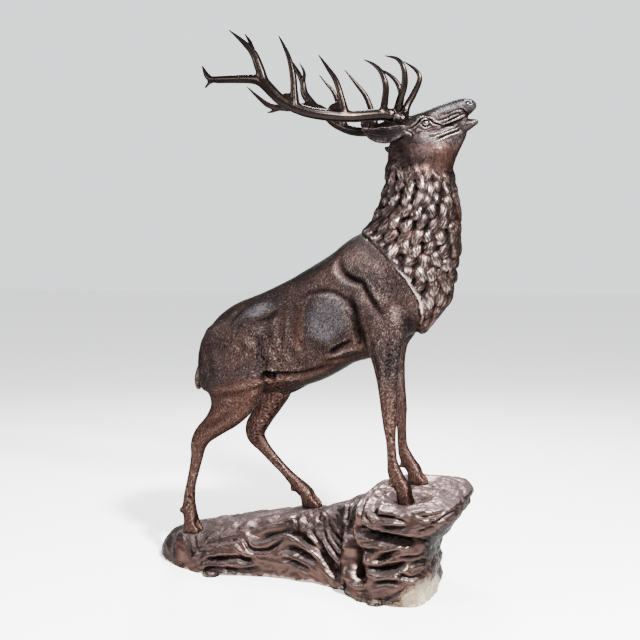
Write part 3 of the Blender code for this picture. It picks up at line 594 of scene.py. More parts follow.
def locks(points):
    # height of the locks, 0 to 1, and the place across and along the lock on top
    x, y, z = drawn(points)
    middle = np.interp(z, (1.2, 1.55, 1.8, 2.05), (0.44, 0.45, 0.50, 0.51))
    turn = np.arctan2(y, x - middle) / (2 * math.pi) * mane["columns"]
    drop = (mane["top"] - z) / mane["pitch"]
    halfLong, halfWide = mane["lockSize"]
    height, across, along = np.zeros(len(x)), np.zeros(len(x)), np.zeros(len(x))
    for above in (-1, 0, 1):
        row = np.floor(drop) + above
        shift = 0.5 * (row % 2) + 0.18 * np.sin(row * 2.3)
        for beside in (-1, 0, 1):
            column = np.round(turn - shift) + beside
            spot = np.mod(column, mane["columns"])
            own = np.sin(spot * 5.1 + row * 3.7)             # numbers of its own for each lock
            other = np.sin(spot * 2.9 + row * 4.3)
            third = np.sin(spot * 7.7 + row * 1.9)
            aside = turn - shift - column - 0.16 * third
            down = (drop - row - 0.5 - 0.20 * other) * 0.80
            lean = 0.75 * own - 0.12
            v = (down * np.cos(lean) + aside * np.sin(lean)) / (halfLong + 0.12 * third)
            w = (aside * np.cos(lean) - down * np.sin(lean)) / (halfWide + 0.06 * other)
            w = w / np.clip(1 - 0.30 * v, 0.5, 1.3)
            bulge = np.clip(1 - np.abs(w) ** 2.2 - np.abs(v) ** 2.4, 0, 1) ** 0.5
            strand = np.cos(2 * math.pi * (w * 2.6 + 0.30 * np.sin(v * 3 + own * 3)))
            mine = bulge * (0.74 + 0.14 * v + 0.12 * own) * (1 + 0.035 * strand)
            top = mine > height
            height = np.where(top, mine, height)
            across = np.where(top, w + column * 1.7, across)
            along = np.where(top, v * 0.5 + row * 3.1, along)
    return height, across, along


def makeMane():
    bm = bmesh.new()
    trunk(bm)
    neck(bm)
    head(bm)
    piece = moulded("stagMane", bm, mane["voxel"])
    z = drawn(readPoints(piece))[2]
    calm = ramp(z, 0.93, 0.10, 0.15) * ramp(z, 2.02, -0.08, 0.12)      # less at the legs and the head
    settle(piece, 34, 0.5 * calm)
    x, y, z = drawn(readPoints(piece))
    cutAway(piece, (aheadOfEdge(x, z) > -0.028) & (z < 2.022), mane["voxel"])
    points, normals = readPoints(piece), readPoints(piece, "normal")
    x, y, z = drawn(points)
    ahead = aheadOfEdge(x, z) / mane["edgeWidth"]
    above = aboveSeam(x, y, z)
    lifted = np.clip(ahead, -0.9, 1) * ramp(above, 0, -0.03)
    sunk = mane["sunk"] * ramp(above, 0.004, 0.030)
    brim = mane["brim"] * bell(ahead, 0.45, 0.28) * ramp(z, 1.53, -0.08)
    height, across, along = locks(points)
    locked = ramp(ahead, 0.45, 0.7) * ramp(above, 0, -0.090)
    # the locks are flatter at the throat and between the fore legs
    throat = ramp(x, 0.640, 0.04) * ramp(np.abs(y), 0.085, -0.06)
    low = ramp(z, 1.36, -0.12, 0, 0.6)
    rise = mane["rise"] * (1 - 0.45 * throat) * (1 - low)
    out = lifted * mane["lift"] + brim - sunk + locked * (height - 0.54) * rise
    movePoints(piece, points + normals * (out * scale)[:, None])
    shown = locked * (0.15 + 0.65 * height) + 0.5 * (1 - locked)
    # painted highlight: the bead along the lower edge of the mane is made paler
    lip = bell(ahead, 0.55, 0.35) * ramp(z, 1.50, -0.05) * ramp(z, 1.27, 0.04)
    # painted shade: a dark band along the seam where the locks go under the head's skin
    shade = 0.20 * bell(above, 0, 0.016)
    crests = raisedParts(piece, 14, 0.020) * 0.4 + 0.6 * shown + 0.35 * lip - shade
    note(piece, "raised", np.clip(crests, 0, 1))
    plain = coatFlow(points)
    lock = np.stack([along * 0.05, across * 0.040, np.zeros(len(x))], axis=1)
    note(piece, "flow", np.where((locked > 0.4)[:, None], lock, plain))
    # red at the throat, low on the chest and under the jaw, and a painted sheen along the edge
    red = -0.9 * ramp(x, 0.660, 0.03) * ramp(np.abs(y), 0.12, -0.06)
    red -= 0.6 * ramp(z, 1.34, -0.10) + 0.5 * bell(z, 1.97, 0.05) * (x > 0.52)
    note(piece, "paintedSheenAndRed", np.clip(red + 0.35 * bell(ahead, 1.0, 0.6), -1, 1))
    return piece


# The torso and legs

body = {
    "voxel": 0.0065,
    "swells": [
        # middle (x, z), half length, half width, tilt in degrees, rise, sharpness of the rim
        ((330, 1455), 120, 60, -52, 14, 1.5),  # shoulder blade
        ((385, 1300), 120, 75, -70, 16, 1.5),  # upper arm
        ((120, 1250), 128, 108, 60, 18, 2.4),  # rounded mass behind the shoulder
        ((-430, 1060), 190, 130, 75, 12, 1.5),  # haunch
        ((-260, 1290), 60, 34, 20, 12, 1.5),  # hip bone
        ((-300, 930), 90, 60, 60, 10, 1.5),  # stifle
        ((190, 1095), 95, 20, 18, 10, 2.0),  # fold under the elbow
        ((-145, 1150), 100, 28, 82, 4, 1.5),  # ribs
        ((-75, 1180), 110, 26, 80, 4, 1.5),
        ((-10, 1210), 110, 24, 76, 4, 1.5),
    ],
    "creases": [
        # line (x, z), half width, depth, lips
        ([(172, 1530), (204, 1472), (261, 1434), (302, 1419), (334, 1358), (358, 1313),
          (398, 1261)], 14, 13, 0.15),
        ([(232, 1372), (257, 1297), (261, 1221), (262, 1130)], 15, 14, 0.10),
        ([(-24, 1345), (43, 1376), (151, 1381), (216, 1348), (250, 1285)], 10, 6, 0.20),
        ([(114, 1085), (164, 1122), (228, 1150)], 7, 9, 0.2),
        ([(90, 1050), (156, 1066), (230, 1082), (295, 1085)], 9, 7, 0.2),
        ([(-261, 950), (-146, 974), (-51, 978), (35, 1001), (127, 1036)], 10, 9, 0.2),
        ([(-171, 1259), (-182, 1195), (-164, 1132), (-137, 1070), (-102, 1015)], 16, 3.5, 0.2),
        ([(-97, 1292), (-114, 1229), (-100, 1150), (-66, 1089), (-29, 1035)], 15, 2.5, 0.2),
        ([(-29, 1324), (-58, 1261), (-52, 1199), (-16, 1137), (16, 1091)], 15, 3, 0.2),
        ([(-260, 1232), (-180, 1256), (-128, 1292)], 14, 7, 0.2),
        ([(-323, 1294), (-359, 1261), (-396, 1215)], 10, 4, 0.2),
        ([(-333, 1150), (-297, 1104), (-255, 1086)], 14, 6, 0.2),
        ([(-236, 1180), (-226, 1080), (-205, 1000)], 20, 8, 0.1),
        ([(-233, 985), (-205, 968), (-176, 958)], 14, 14, 0.2),
        ([(-473, 862), (-337, 888), (-212, 922), (-176, 935)], 10, 5, 0.4),
        ([(-350, 800), (-440, 760), (-540, 700)], 12, 4, 0.2),
        ([(-520, 1120), (-490, 1030), (-455, 950)], 16, 4, 0.1),
        ([(330, 1180), (345, 1080), (372, 980)], 12, 4, 0.1),
        ([(425, 1180), (418, 1080), (410, 990)], 12, 4, 0.1),
    ],
    "creaseSpread": 1.35,            # widens every crease
    "creaseDepth": 1.4,
    "combCentre": (0.75, 2.60),      # the coat's strokes fan out from here
    "tuck": 0.022,                   # how deep the skin dives under the mane
    "hammered": (0.0009, 0.0022),    # fine and wide unevenness
    # painted sheen: pale patches on the rounded mass behind the shoulder and on the hip bone
    "paintedSheen": [
        # middle (x, z), half length, half width, tilt, strength, sharpness of the rim
        ((120, 1250), 125, 105, 60, 0.65, 3), ((-250, 1290), 110, 40, 25, 0.7, 1.5),
    ],
    "red": [((-300, 900), 160, 50, 12, 0.7, 1.5), ((-20, 1180), 120, 30, 78, 0.5, 1.5),
            ((150, 1040), 220, 50, 20, 0.4, 1.5)],
}


def muscles(points, normals):
    x, _, z = drawn(points)
    flank = np.clip(np.abs(normals[:, 1]) * 1.6 - 0.2, 0, 1)
    return carving(x, z, body) * flank * scale


def coatFlow(points):
    # along and across the strokes of the coat, which fan out from above the withers
    x, y, z = drawn(points)
    fromX, fromZ = body["combCentre"]
    away = np.hypot(x - fromX, z - fromZ)
    angle = np.arctan2(z - fromZ, x - fromX) + 0.025 * np.sin(x * 11 + y * 7) + 0.012 * np.sin(z * 17)
    return np.stack([away, angle * 1.6, y * 0.6], axis=1)


def makeBody():
    bm = bmesh.new()
    trunk(bm)
    neck(bm)
    tailAndSheath(bm)
    for name in hooves:
        leg(bm, name)
    piece = moulded("stagBody", bm, body["voxel"])
    z = drawn(readPoints(piece))[2]
    settle(piece, 30, 0.5 * ramp(z, 0.93, 0.10, 0.12))
    x, y, z = drawn(readPoints(piece))
    cutAway(piece, (aheadOfEdge(x, z) < 0.050) | (z < 1.15), body["voxel"])
    points, normals = readPoints(piece), readPoints(piece, "normal")
    x, y, z = drawn(points)
    ahead = aheadOfEdge(x, z)
    under = ramp(ahead, 0.008, 0.030)
    fine, wide = body["hammered"]
    hammered = grain(coatFlow(points), (24, 62, 24), 3.0) * fine + grain(points, (9, 9, 9), 7.0) * wide
    legs = ramp(z, 0.86, 0.12, 0.25)
    out = muscles(points, normals) * (1 - under) + hammered * legs - body["tuck"] * under
    points += normals * out[:, None]
    for x, y, seat in hooves.values():
        # the sole is flat and sits on its seat
        near = (np.hypot(points[:, 0] - x, points[:, 1] - y) < 0.09) & (points[:, 2] < seat + 0.0005)
        points[near, 2] = seat + 0.0003
    movePoints(piece, points)
    onTorso = ramp(z, 0.80, 0.15, 0.5)
    note(piece, "raised", 0.50 + (raisedParts(piece, 14, 0.011) - 0.50) * onTorso + 0.02 * (1 - onTorso))
    note(piece, "flow", coatFlow(points))
    x, y, z = drawn(points)
    # painted sheen on the top of the withers and red down the legs, besides the drawn patches of painted
    # sheen and red
    paintedSheen, red = np.zeros(len(x)), ramp(z, 1.00, -0.25) * 0.65
    for patches, shade in ((body["paintedSheen"], paintedSheen), (body["red"], red)):
        for centre, halfLong, halfWide, tilt, strength, edge in patches:
            shade += strength * oval(x, z, centre, halfLong, halfWide, tilt, edge)
    paintedSheen += 0.5 * ramp(z, 1.56, 0.08) * (ahead < 0)
    note(piece, "paintedSheenAndRed", np.clip(paintedSheen - red, -1, 1))
    return piece


# The head, with a face that lows: mouth open, ears back

face = {
    "voxel": 0.0027,
    "knobs": [
        # middle and radii
        ((530, 74, 2165), (36, 20, 14)),  # brow
        ((547, 72, 2143), (15, 14, 11)),  # eye
        ((735, 29, 2222), (17, 12, 15)),  # side of the nostril
    ],
    "creaseSpread": 1.0,
    "creaseDepth": 1.0,
    "creases": [
        # line (x, z), half width, depth, lips
        ([(463, 2120), (490, 2129), (512, 2146), (532, 2163), (550, 2168), (566, 2160),
          (582, 2145), (608, 2136), (626, 2121)], 4, 6, 0.40),  # brow to the tear pit
        ([(529, 2143), (536, 2152), (547, 2156), (559, 2152), (568, 2142)], 3, 3.6, 0.4),
        ([(529, 2141), (537, 2133), (548, 2130), (560, 2133), (569, 2141)], 3, 3.6, 0.4),
        ([(508, 2124), (530, 2115), (552, 2112), (577, 2117), (592, 2124)], 6, 2.5, 0.4),
        ([(455, 2116), (482, 2102), (492, 2083)], 4, 4, 0.4),
        ([(598, 2068), (637, 2089), (670, 2103), (700, 2120)], 5.5, 6.5, 0.3),
        ([(600, 2120), (629, 2132), (662, 2143), (700, 2157), (722, 2168)], 5, 8, 0.3),
        ([(718, 2232), (731, 2238), (742, 2232), (745, 2221)], 4.6, 7.5, 0.4),  # nostril
        ([(634, 2178), (664, 2194), (690, 2202), (712, 2200)], 3.6, 3.2, 0.3),
        ([(610, 2139), (640, 2152), (668, 2163), (694, 2174)], 3.6, 3.5, 0.3),
        ([(560, 2081), (590, 2086), (618, 2098)], 4.5, 3, 0.3),
        ([(608, 2089), (647, 2108), (677, 2122), (698, 2134)], 4, 4, 0.3),
        ([(598, 2154), (636, 2167), (662, 2181), (696, 2188)], 4, 5, 0.3),
        ([(690, 2208), (711, 2196), (724, 2180)], 5, 3.5, 0.3),
    ],
    "swells": [
        ((520, 2085), 50, 30, 30, 6, 1.5),  # cheek
        ((545, 2114), 30, 9, 0, 4, 1.5),  # bag under the eye
        ((655, 2168), 40, 12, 15, 3, 1.5),  # side of the upper lip
        ((590, 2146), 22, 6, -10, 3, 1.5),  # before the eye
    ],
    "eyeball": ((548, 2143), 14, 9.5, 5, 3),      # middle, half length, half width, tilt, sharpness
    "eyeRise": 0.0035,
    "nostril": ((749, 24, 2232), (11, 9, 8), 7),  # middle, radii, depth
    "earDroop": 0.045,                            # of the left ear's tip
    "earHollow": 0.012,
    "earRidges": (0.0005, 0.014),                 # height and pitch
    "skin": (0.0006, 0.0010),                     # fine and wide unevenness
    "tuck": 0.030,                                # how deep the skin dives under the mane
}


def makeHead():
    bm = bmesh.new()
    neck(bm, 1.86)
    head(bm)
    ears(bm)
    for side in (-1, 1):
        (x, y, z), radii = metres(antlers["burr"])
        ball(bm, spot(x, side * y, z), radii)
    piece = moulded("stagHead", bm, face["voxel"])
    z = drawn(readPoints(piece))[2]
    settle(piece, 60, 0.5 * ramp(z, 2.02, -0.08, 0.12))
    z = drawn(readPoints(piece))[2]
    cutAway(piece, z > 1.885, face["voxel"])
    points, normals = readPoints(piece), readPoints(piece, "normal")
    x, y, z = drawn(points)
    cheek = np.clip(np.abs(normals[:, 1]) * 1.8 - 0.3, 0, 1) * (np.abs(y) < 0.105)
    out = carving(x, z, face) * cheek
    # the eyeball stays round inside its lids
    out += face["eyeRise"] * oval(x, z, *face["eyeball"]) * cheek
    centre, radii, depth = metres(face["nostril"])
    pit = (((x - centre[0]) / radii[0]) ** 2 + ((np.abs(y) - centre[1]) / radii[1]) ** 2
           + ((z - centre[2]) / radii[2]) ** 2)
    out -= depth * np.exp(-pit)
    # each ear is hollow on its outer face, with ridges along it
    reach = ramp(x, 0.470, -0.198)
    earMiddle = np.interp(reach, (0, 0.45, 0.75, 1), (2.122, 2.092, 2.096, 2.120))
    earMiddle = earMiddle - face["earDroop"] * (y > 0) * reach
    leaf = np.clip(1.25 - np.hypot((x - 0.372) / 0.078, (z - earMiddle) / 0.027), 0, 1) ** 0.6
    leaf *= (np.abs(y) > 0.090) * np.clip(normals[:, 1] * np.sign(y) * 2.5, 0, 1)
    ridge, ridgePitch = face["earRidges"]
    out -= leaf * (face["earHollow"] + ridge * np.cos((z - earMiddle) * 2 * math.pi / ridgePitch))
    out -= face["tuck"] * ramp(aboveSeam(x, y, z), -0.006, -0.018)
    fine, wide = face["skin"]
    skin = grain(points, (60, 60, 60), 5.0) * fine + grain(points, (22, 22, 22), 2.0) * wide
    movePoints(piece, points + normals * ((out + skin) * scale)[:, None])
    # painted shade: the ears are made dark, darkest in their hollows
    paintedEarShade = ramp(np.abs(y), 0.090, 0.01)
    bare = raisedParts(piece, 16, 0.0075)
    note(piece, "raised", np.clip(bare + paintedEarShade * (0.28 - 0.20 * leaf - 0.85 * bare), 0, 1))
    note(piece, "flow", coatFlow(points))
    # red under the jaw, painted sheen on the top of the skull
    red = 0.6 * ramp(z, 2.06, -0.08) * ramp(x, 0.57, 0.06)
    paintedSheen = 0.5 * ramp(z, 2.185, 0.03) + 0.25 * (z > 2.05)
    note(piece, "paintedSheenAndRed", np.clip(paintedSheen - red, -1, 1))
    return piece


# Antlers, as beams and tines of stations (x, distance from the middle plane, z, radius)

antlers = {
    "voxel": 0.0030,
    "grooves": 8,
    "grooveDepth": 0.0007,
    "pearls": 0.008,                              # height of the pearls near the burr
    "burr": ((404, 52, 2182), (38, 38, 24)),      # middle and radii
    "webs": [
        # middle and radii of the fins behind two roots
        ((172, 222, 2206), (46, 11, 34)), ((-34, 322, 2246), (36, 10, 34)),
    ],
    "beam": [
        (430, 40, 2165, 36), (394, 55, 2188, 32), (336, 110, 2189, 27), (228, 200, 2174, 26),
        (122, 270, 2178, 25), (28, 310, 2200, 25), (-53, 330, 2243, 25), (-99, 338, 2286, 26),
        (-150, 336, 2335, 28), (-207, 325, 2352, 21), (-330, 297, 2366, 18), (-440, 266, 2380, 17),
        (-478, 256, 2405, 14), (-505, 250, 2451, 4),
    ],
    "tines": {
        "brow": [(405, 55, 2200, 22), (421, 70, 2252, 18), (449, 85, 2325, 16),
                 (446, 92, 2395, 13), (415, 90, 2440, 9), (352, 80, 2462, 3)],
        "bez": [(350, 98, 2195, 21), (363, 110, 2250, 17), (371, 120, 2316, 15),
                (348, 120, 2380, 12), (305, 110, 2422, 8), (258, 100, 2448, 3)],
        "trez": [(206, 212, 2178, 27), (196, 216, 2240, 17), (163, 208, 2336, 14),
                 (115, 192, 2403, 10), (61, 172, 2472, 3)],
        "fourth": [(4, 316, 2208, 27), (-1, 312, 2284, 18), (-8, 306, 2352, 16),
                   (-30, 298, 2434, 12), (-64, 284, 2500, 8), (-97, 270, 2552, 3)],
        "fifth": [(-135, 336, 2320, 25), (-160, 340, 2395, 22), (-190, 343, 2465, 19),
                  (-240, 350, 2520, 12), (-305, 360, 2575, 3)],
        "fifthFork": [(-185, 340, 2455, 15), (-212, 325, 2515, 10), (-252, 302, 2566, 3)],
        "endFork": [(-440, 266, 2378, 15), (-462, 262, 2366, 10), (-486, 258, 2345, 4)],
    },
    # the left antler differs where it shows: its end branch droops and three tines lean their own way
    "leftBeamEnd": [
        (-153, 336, 2322, 27), (-205, 325, 2334, 21), (-284, 310, 2330, 19), (-353, 297, 2334, 17),
        (-408, 280, 2348, 15), (-463, 266, 2393, 10), (-519, 250, 2448, 3),
    ],
    "leftTines": {
        "brow": [(402, 55, 2196, 22), (415, 70, 2254, 18), (444, 85, 2313, 16),
                 (470, 92, 2380, 13), (449, 90, 2425, 9), (392, 80, 2467, 3)],
        "fourth": [(5, 316, 2208, 24), (-10, 312, 2286, 16), (-43, 298, 2386, 11),
                   (-79, 284, 2433, 7), (-115, 270, 2481, 3)],
        "fifth": [(-150, 336, 2310, 25), (-222, 340, 2398, 21), (-238, 343, 2464, 17),
                  (-274, 350, 2533, 11), (-317, 360, 2598, 3)],
        "fifthFork": [(-235, 342, 2455, 14), (-222, 328, 2510, 9), (-240, 306, 2560, 3)],
        "endFork": [(-340, 298, 2333, 14), (-390, 300, 2318, 9), (-425, 300, 2312, 3)],
    },
}


def makeAntler(side):
    beam = antlers["beam"] if side < 0 else antlers["beam"][:8] + antlers["leftBeamEnd"]
    tines = dict(antlers["tines"]) if side < 0 else {**antlers["tines"], **antlers["leftTines"]}
    spread = side * figure["antlerSpread"] * scale
    centres = []
    bm = bmesh.new()
    for stations in [beam, *tines.values()]:
        rows = [(x * scale, y * spread, lift(z), r * scale, r * scale) for x, y, z, r in metres(stations)]
        loft(bm, rows, 20, steps=6)
        centres.append(smoothStations(rows, 10)[:, :4])
    for (x, y, z), radii in metres(antlers["webs"]):
        ball(bm, spot(x, y * side * figure["antlerSpread"], z), radii)
    piece = moulded("antlerRight" if side < 0 else "antlerLeft", bm, antlers["voxel"])
    points = readPoints(piece)
    # which tube each point belongs to, how far along it and at what angle round it
    nearest = np.full(len(points), np.inf)
    along, angle, radius = np.zeros(len(points)), np.zeros(len(points)), np.zeros(len(points))
    perTube = []
    for tube, rows in enumerate(centres):
        travelled = np.concatenate([[0], np.cumsum(np.linalg.norm(np.diff(rows[:, :3], axis=0), axis=1))])
        closest = np.full(len(points), np.inf)
        for i in range(len(rows) - 1):
            step = rows[i + 1, :3] - rows[i, :3]
            t = np.clip((points - rows[i, :3]) @ step / (step @ step), 0, 1)
            offset = points - rows[i, :3] - t[:, None] * step
            thick = rows[i, 3] + t * (rows[i + 1, 3] - rows[i, 3])
            away = np.linalg.norm(offset, axis=1) - thick
            better = away < nearest
            forward = step / np.linalg.norm(step)
            upward = np.array((0, 1, 0)) - forward * forward[1]
            upward /= np.linalg.norm(upward)
            sideways = np.cross(forward, upward)
            turn = np.arctan2(offset @ sideways, offset @ upward)
            nearest = np.where(better, away, nearest)
            closest = np.minimum(closest, away)
            along = np.where(better, travelled[i] + t * np.linalg.norm(step) + tube * 3.3, along)
            angle = np.where(better, turn, angle)
            radius = np.where(better, thick, radius)
        perTube.append(closest)
    # the skin is evened where two tubes meet, and hardly at the tips
    second = np.partition(np.array(perTube), 1, axis=0)[1]
    joint = np.clip(1.3 - second / 0.016, 0, 1)
    weights = np.clip(0.10 + joint, 0, 0.5) * ramp(radius, 0, 0.012, 0.22)
    points = evenOut(points, readEdges(piece), 30, weights)
    movePoints(piece, points)
    normals = readPoints(piece, "normal")
    bold = ramp(radius, 0.006, 0.012)
    wander = 0.25 * np.sin(along * 9) + 0.15 * np.sin(along * 23 + 1)
    furrows = np.cos(antlers["grooves"] * angle + wander * 2) * 0.6
    furrows += np.cos((antlers["grooves"] + 5) * angle - wander * 3) * 0.4
    out = furrows * antlers["grooveDepth"] * bold
    x, y, z = drawn(points)
    burrX, burrY, _ = metres(antlers["burr"][0])
    atBurr = bell(np.hypot(x - burrX, np.abs(y) - burrY), 0, 0.042) * (z > 2.150) * (z < 2.235)
    out += atBurr * grain(points, (75, 75, 75), 4.0) * antlers["pearls"]
    points = points + normals * out[:, None] * scale
    points = np.clip(points, np.array(stagBox[0]), np.array(stagBox[1]))
    movePoints(piece, points)
    note(piece, "raised", raisedParts(piece, 10, 0.0120))
    note(piece, "flow", np.stack([along, np.sin(angle) * 0.03, np.cos(angle) * 0.03], axis=1))
    # painted sheen on the pearls of the burr; elsewhere the antler leans red
    note(piece, "paintedSheenAndRed", 0.6 * atBurr - 0.2)
    return piece


# The rock

rock = {
    "length": 1.53,
    "width": 0.64,
    "ledge": figure["ledgeTop"],
    "overhang": 0.15,
    "ledgeAside": -0.025,
    "slab": slabTop,
    "farSlab": figure["farSlabTop"],
    "foldDepth": 0.030,
    "foldPitch": 0.085,
    "footTurn": 0.12,
    "seatRadius": 0.055,
    "seatDepth": 0.002,
    "lugs": [(-0.300, -0.435), (0.265, -0.545)],      # places, as shares of the length and width
    "lugRadius": 0.042,
    "lugHeight": 0.022,
    "voxel": 0.0052,
    "creaseLips": 0.30,
    "creases": [
        # line (x, z), half width, depth
        ([(-321, 195), (-246, 186), (-183, 212), (-120, 229), (-53, 219), (3, 197),
          (54, 170), (104, 138)], 13, 24),
        ([(-331, 189), (-299, 156), (-278, 134), (-246, 125), (-193, 132), (-162, 155),
          (-120, 188)], 8, 16),
        ([(-507, 63), (-463, 71), (-386, 82), (-332, 86), (-289, 77), (-246, 97)], 11, 20),
        ([(-136, 134), (-89, 146), (-48, 144), (-2, 130), (44, 117), (94, 113)], 18, 26),
        ([(-131, 91), (-89, 98), (-43, 90), (3, 74), (54, 61)], 9, 14),
        ([(-485, 26), (-419, 29), (-354, 28), (-279, 34), (-194, 57)], 9, 10),
        ([(60, 200), (95, 160), (129, 122), (169, 80), (213, 50)], 22, 42),
        ([(14, 250), (54, 212), (94, 179), (134, 141)], 9, 16),
        ([(84, 253), (134, 202), (183, 161), (228, 129)], 8, 16),
        ([(94, 287), (134, 259), (183, 231), (228, 213)], 7, 14),
        ([(100, 270), (150, 226), (200, 190), (232, 165)], 6, 12),
        ([(-385, 236), (-320, 286), (-288, 296), (-245, 304), (-182, 312)], 9, 11),
        ([(-652, 174), (-624, 127), (-591, 101), (-568, 88)], 9, 11),
        ([(-620, 150), (-575, 140), (-540, 112)], 7, 8),
        ([(-529, 138), (-462, 155), (-386, 166), (-331, 184)], 9, 9),
        ([(-300, 236), (-246, 232), (-190, 252), (-130, 262)], 8, 9),
        ([(208, 410), (218, 370), (230, 334)], 7, 12),
        ([(172, 395), (196, 350), (205, 300)], 7, 10),
        ([(-135, 273), (-89, 268), (-60, 246)], 7, 9),
        ([(20, 300), (44, 285), (75, 295)], 7, 9),
        ([(307, 450), (364, 440), (415, 424), (489, 432), (580, 436)], 7, 6),
        ([(380, 395), (452, 393), (508, 386), (556, 374)], 8, 16),
        ([(595, 408), (652, 412), (706, 424)], 8, 15),
        ([(640, 360), (706, 398), (749, 422), (780, 433)], 10, 20),
        ([(422, 351), (490, 346), (562, 362)], 10, 14),
        ([(305, 342), (359, 308), (425, 298), (490, 291), (545, 286), (625, 270)], 21, 56),
        ([(585, 338), (635, 343), (680, 367)], 8, 9),
        ([(325, 262), (378, 268), (425, 281)], 7, 9),
        ([(355, 172), (421, 193), (472, 226), (536, 244), (630, 250)], 13, 16),
        ([(306, 240), (294, 190), (304, 145), (335, 80)], 30, 85),
        ([(228, 330), (252, 292), (276, 252), (300, 200)], 17, 42),
        ([(340, 150), (390, 150), (445, 157), (490, 168), (535, 193)], 14, 32),
        ([(390, 85), (463, 104), (512, 100)], 9, 14),
        ([(492, 148), (546, 127), (600, 127)], 8, 15),
        ([(465, 206), (545, 215), (622, 218)], 8, 8),
        ([(540, 175), (580, 180), (625, 172)], 7, 9),
        ([(352, 440), (380, 418), (403, 398)], 13, 22),
        ([(300, 452), (313, 410), (318, 360), (312, 305)], 10, 24),
        ([(340, 390), (372, 362), (402, 350)], 8, 12),
        ([(235, 422), (250, 378), (269, 344)], 7, 12),
    ],
    "lumps": [
        # middle (x, z), radius, rise
        ((44, 318), 24, 14), ((173, 352), 28, 16), ((-246, 262), 35, 12),
        ((-330, 215), 30, 10), ((395, 330), 30, 10),
    ],
    "deepest": 0.085,            # where traced folds cross
    "wrinkles": (0.0050, 0.0026),
    "ringPitch": 0.034,          # grooves that follow the rim of the ledge's top
    "ringHeight": 0.004,
}


def ledgeBlock(bm):
    footFront = rock["length"] * 0.392
    back = footFront - rock["length"] * 0.262
    shares = [
        # height as a share of the ledge, back, front, width
        (-0.10, 0.00, 0.05, 1.06), (0.00, 0.00, 0.05, 1.06), (0.25, 0.00, 0.02, 1.02),
        (0.46, 0.00, 0.00, 0.96), (0.62, 0.01, 0.34, 0.96), (0.78, 0.02, 0.70, 1.00),
        (0.90, 0.02, 0.93, 1.02), (0.98, 0.03, 1.00, 1.00), (1.03, 0.045, 0.93, 0.93),
        (1.06, 0.08, 0.78, 0.80),
    ]
    stations = []
    for height, start, out, wide in shares:
        x0, x1 = back + start * rock["length"], footFront + out * rock["overhang"]
        stations.append(((x0 + x1) / 2, rock["ledgeAside"], height * rock["ledge"],
                         wide * rock["width"] / 2, (x1 - x0) / 2))
    loft(bm, stations, 56, square=3.0, steps=5, facing=(0, 0, 1))


def slabBlock(bm):
    rear, far = rock["slab"], rock["farSlab"]
    rows = [
        # along, near side, far side and top
        (-0.588, 0.02, 0.10, rear * 0.25), (-0.565, 0.12, 0.20, rear * 0.52),
        (-0.520, 0.24, 0.28, rear * 0.84), (-0.440, 0.36, 0.36, rear * 1.08),
        (-0.340, 0.44, 0.42, rear * 1.28), (-0.240, 0.40, 0.42, rear * 1.50),
        (-0.150, 0.34, 0.42, far * 0.98), (-0.050, 0.32, 0.42, far * 1.07), (0.050, 0.34, 0.42, far * 1.22),
        (0.130, 0.38, 0.42, far * 1.42), (0.200, 0.42, 0.44, far * 1.52), (0.280, 0.44, 0.44, far * 1.50),
    ]
    stations = []
    for along, near, away, top in rows:
        low = -0.6 * top
        stations.append((along * rock["length"], (away - near) / 2 * rock["width"], (top + low) / 2,
                         (near + away) / 2 * rock["width"], (top - low) / 2))
    loft(bm, stations, 48, square=2.6, steps=5, facing=(1, 0, 0))


def rockFolds(points, normals):
    x, y, z = points.T
    steep = np.clip(1.25 - np.abs(normals[:, 2]), 0.15, 1)
    bend = 0.05 * np.sin(x * 7.5 + 0.6) + 0.03 * np.sin(x * 17 + y * 6) + 0.10 * y
    wave = np.abs(np.sin(math.pi * (z + bend) / rock["foldPitch"])) ** 0.7 - 0.6
    chop = 0.5 * np.sin(x * 31 + z * 22 + 3 * np.sin(y * 9)) * np.sin(y * 23 + z * 17)
    facing = np.clip(-normals[:, 1] * 1.7 + 0.15, 0, 1) * (y < -0.02)
    away = np.clip(normals[:, 1] * 1.7, 0, 1) * (y > 0.02)
    raised = (0.35 * wave * (1 - 0.75 * facing) + 0.20 * chop) * steep * rock["foldDepth"]
    traced = np.zeros(len(x))
    for path, width, depth in rock["creases"]:
        traced -= depth / 1000 * groove(x, z, path, width / 1000, rock["creaseLips"])
    for (lumpX, lumpZ), radius, rise in metres(rock["lumps"]):
        traced += rise * np.exp(-((x - lumpX) ** 2 + (z - lumpZ) ** 2) / radius ** 2)
    raised += np.maximum(traced, -rock["deepest"]) * (facing + 0.5 * away)
    # rings follow the rim on top of the ledge
    top = np.clip(normals[:, 2] * 4 - 2.8, 0, 1) * ramp(z, 0.36, 0.04)
    rim = ((np.abs(x - 0.50) / 0.29) ** 3 + (np.abs(y + 0.02) / 0.33) ** 3) ** (1 / 3) * 0.30
    rings = np.abs(np.sin(math.pi * (rim + 0.010 * np.sin(x * 19 + y * 13)) / rock["ringPitch"])) ** 0.6
    raised += rock["ringHeight"] * (rings - 0.7) * top
    # wrinkles between the traced folds, longer along the rock than up it
    bent = points + 0.05 * np.stack([np.sin(z * 21 + x * 5), np.sin(x * 8), np.sin(x * 13 + y * 9)], axis=1)
    large = 1 - np.abs(grain(bent, (9, 9, 24), 1.5)) * 3.2
    small = 1 - np.abs(grain(bent, (22, 22, 52), 4.5)) * 3.2
    largeDepth, smallDepth = rock["wrinkles"]
    wrinkles = np.clip(large, -0.6, 1) * -largeDepth + np.clip(small, -0.6, 1) * -smallDepth
    return raised + wrinkles * (0.5 + 0.5 * np.clip(steep, 0, 1))


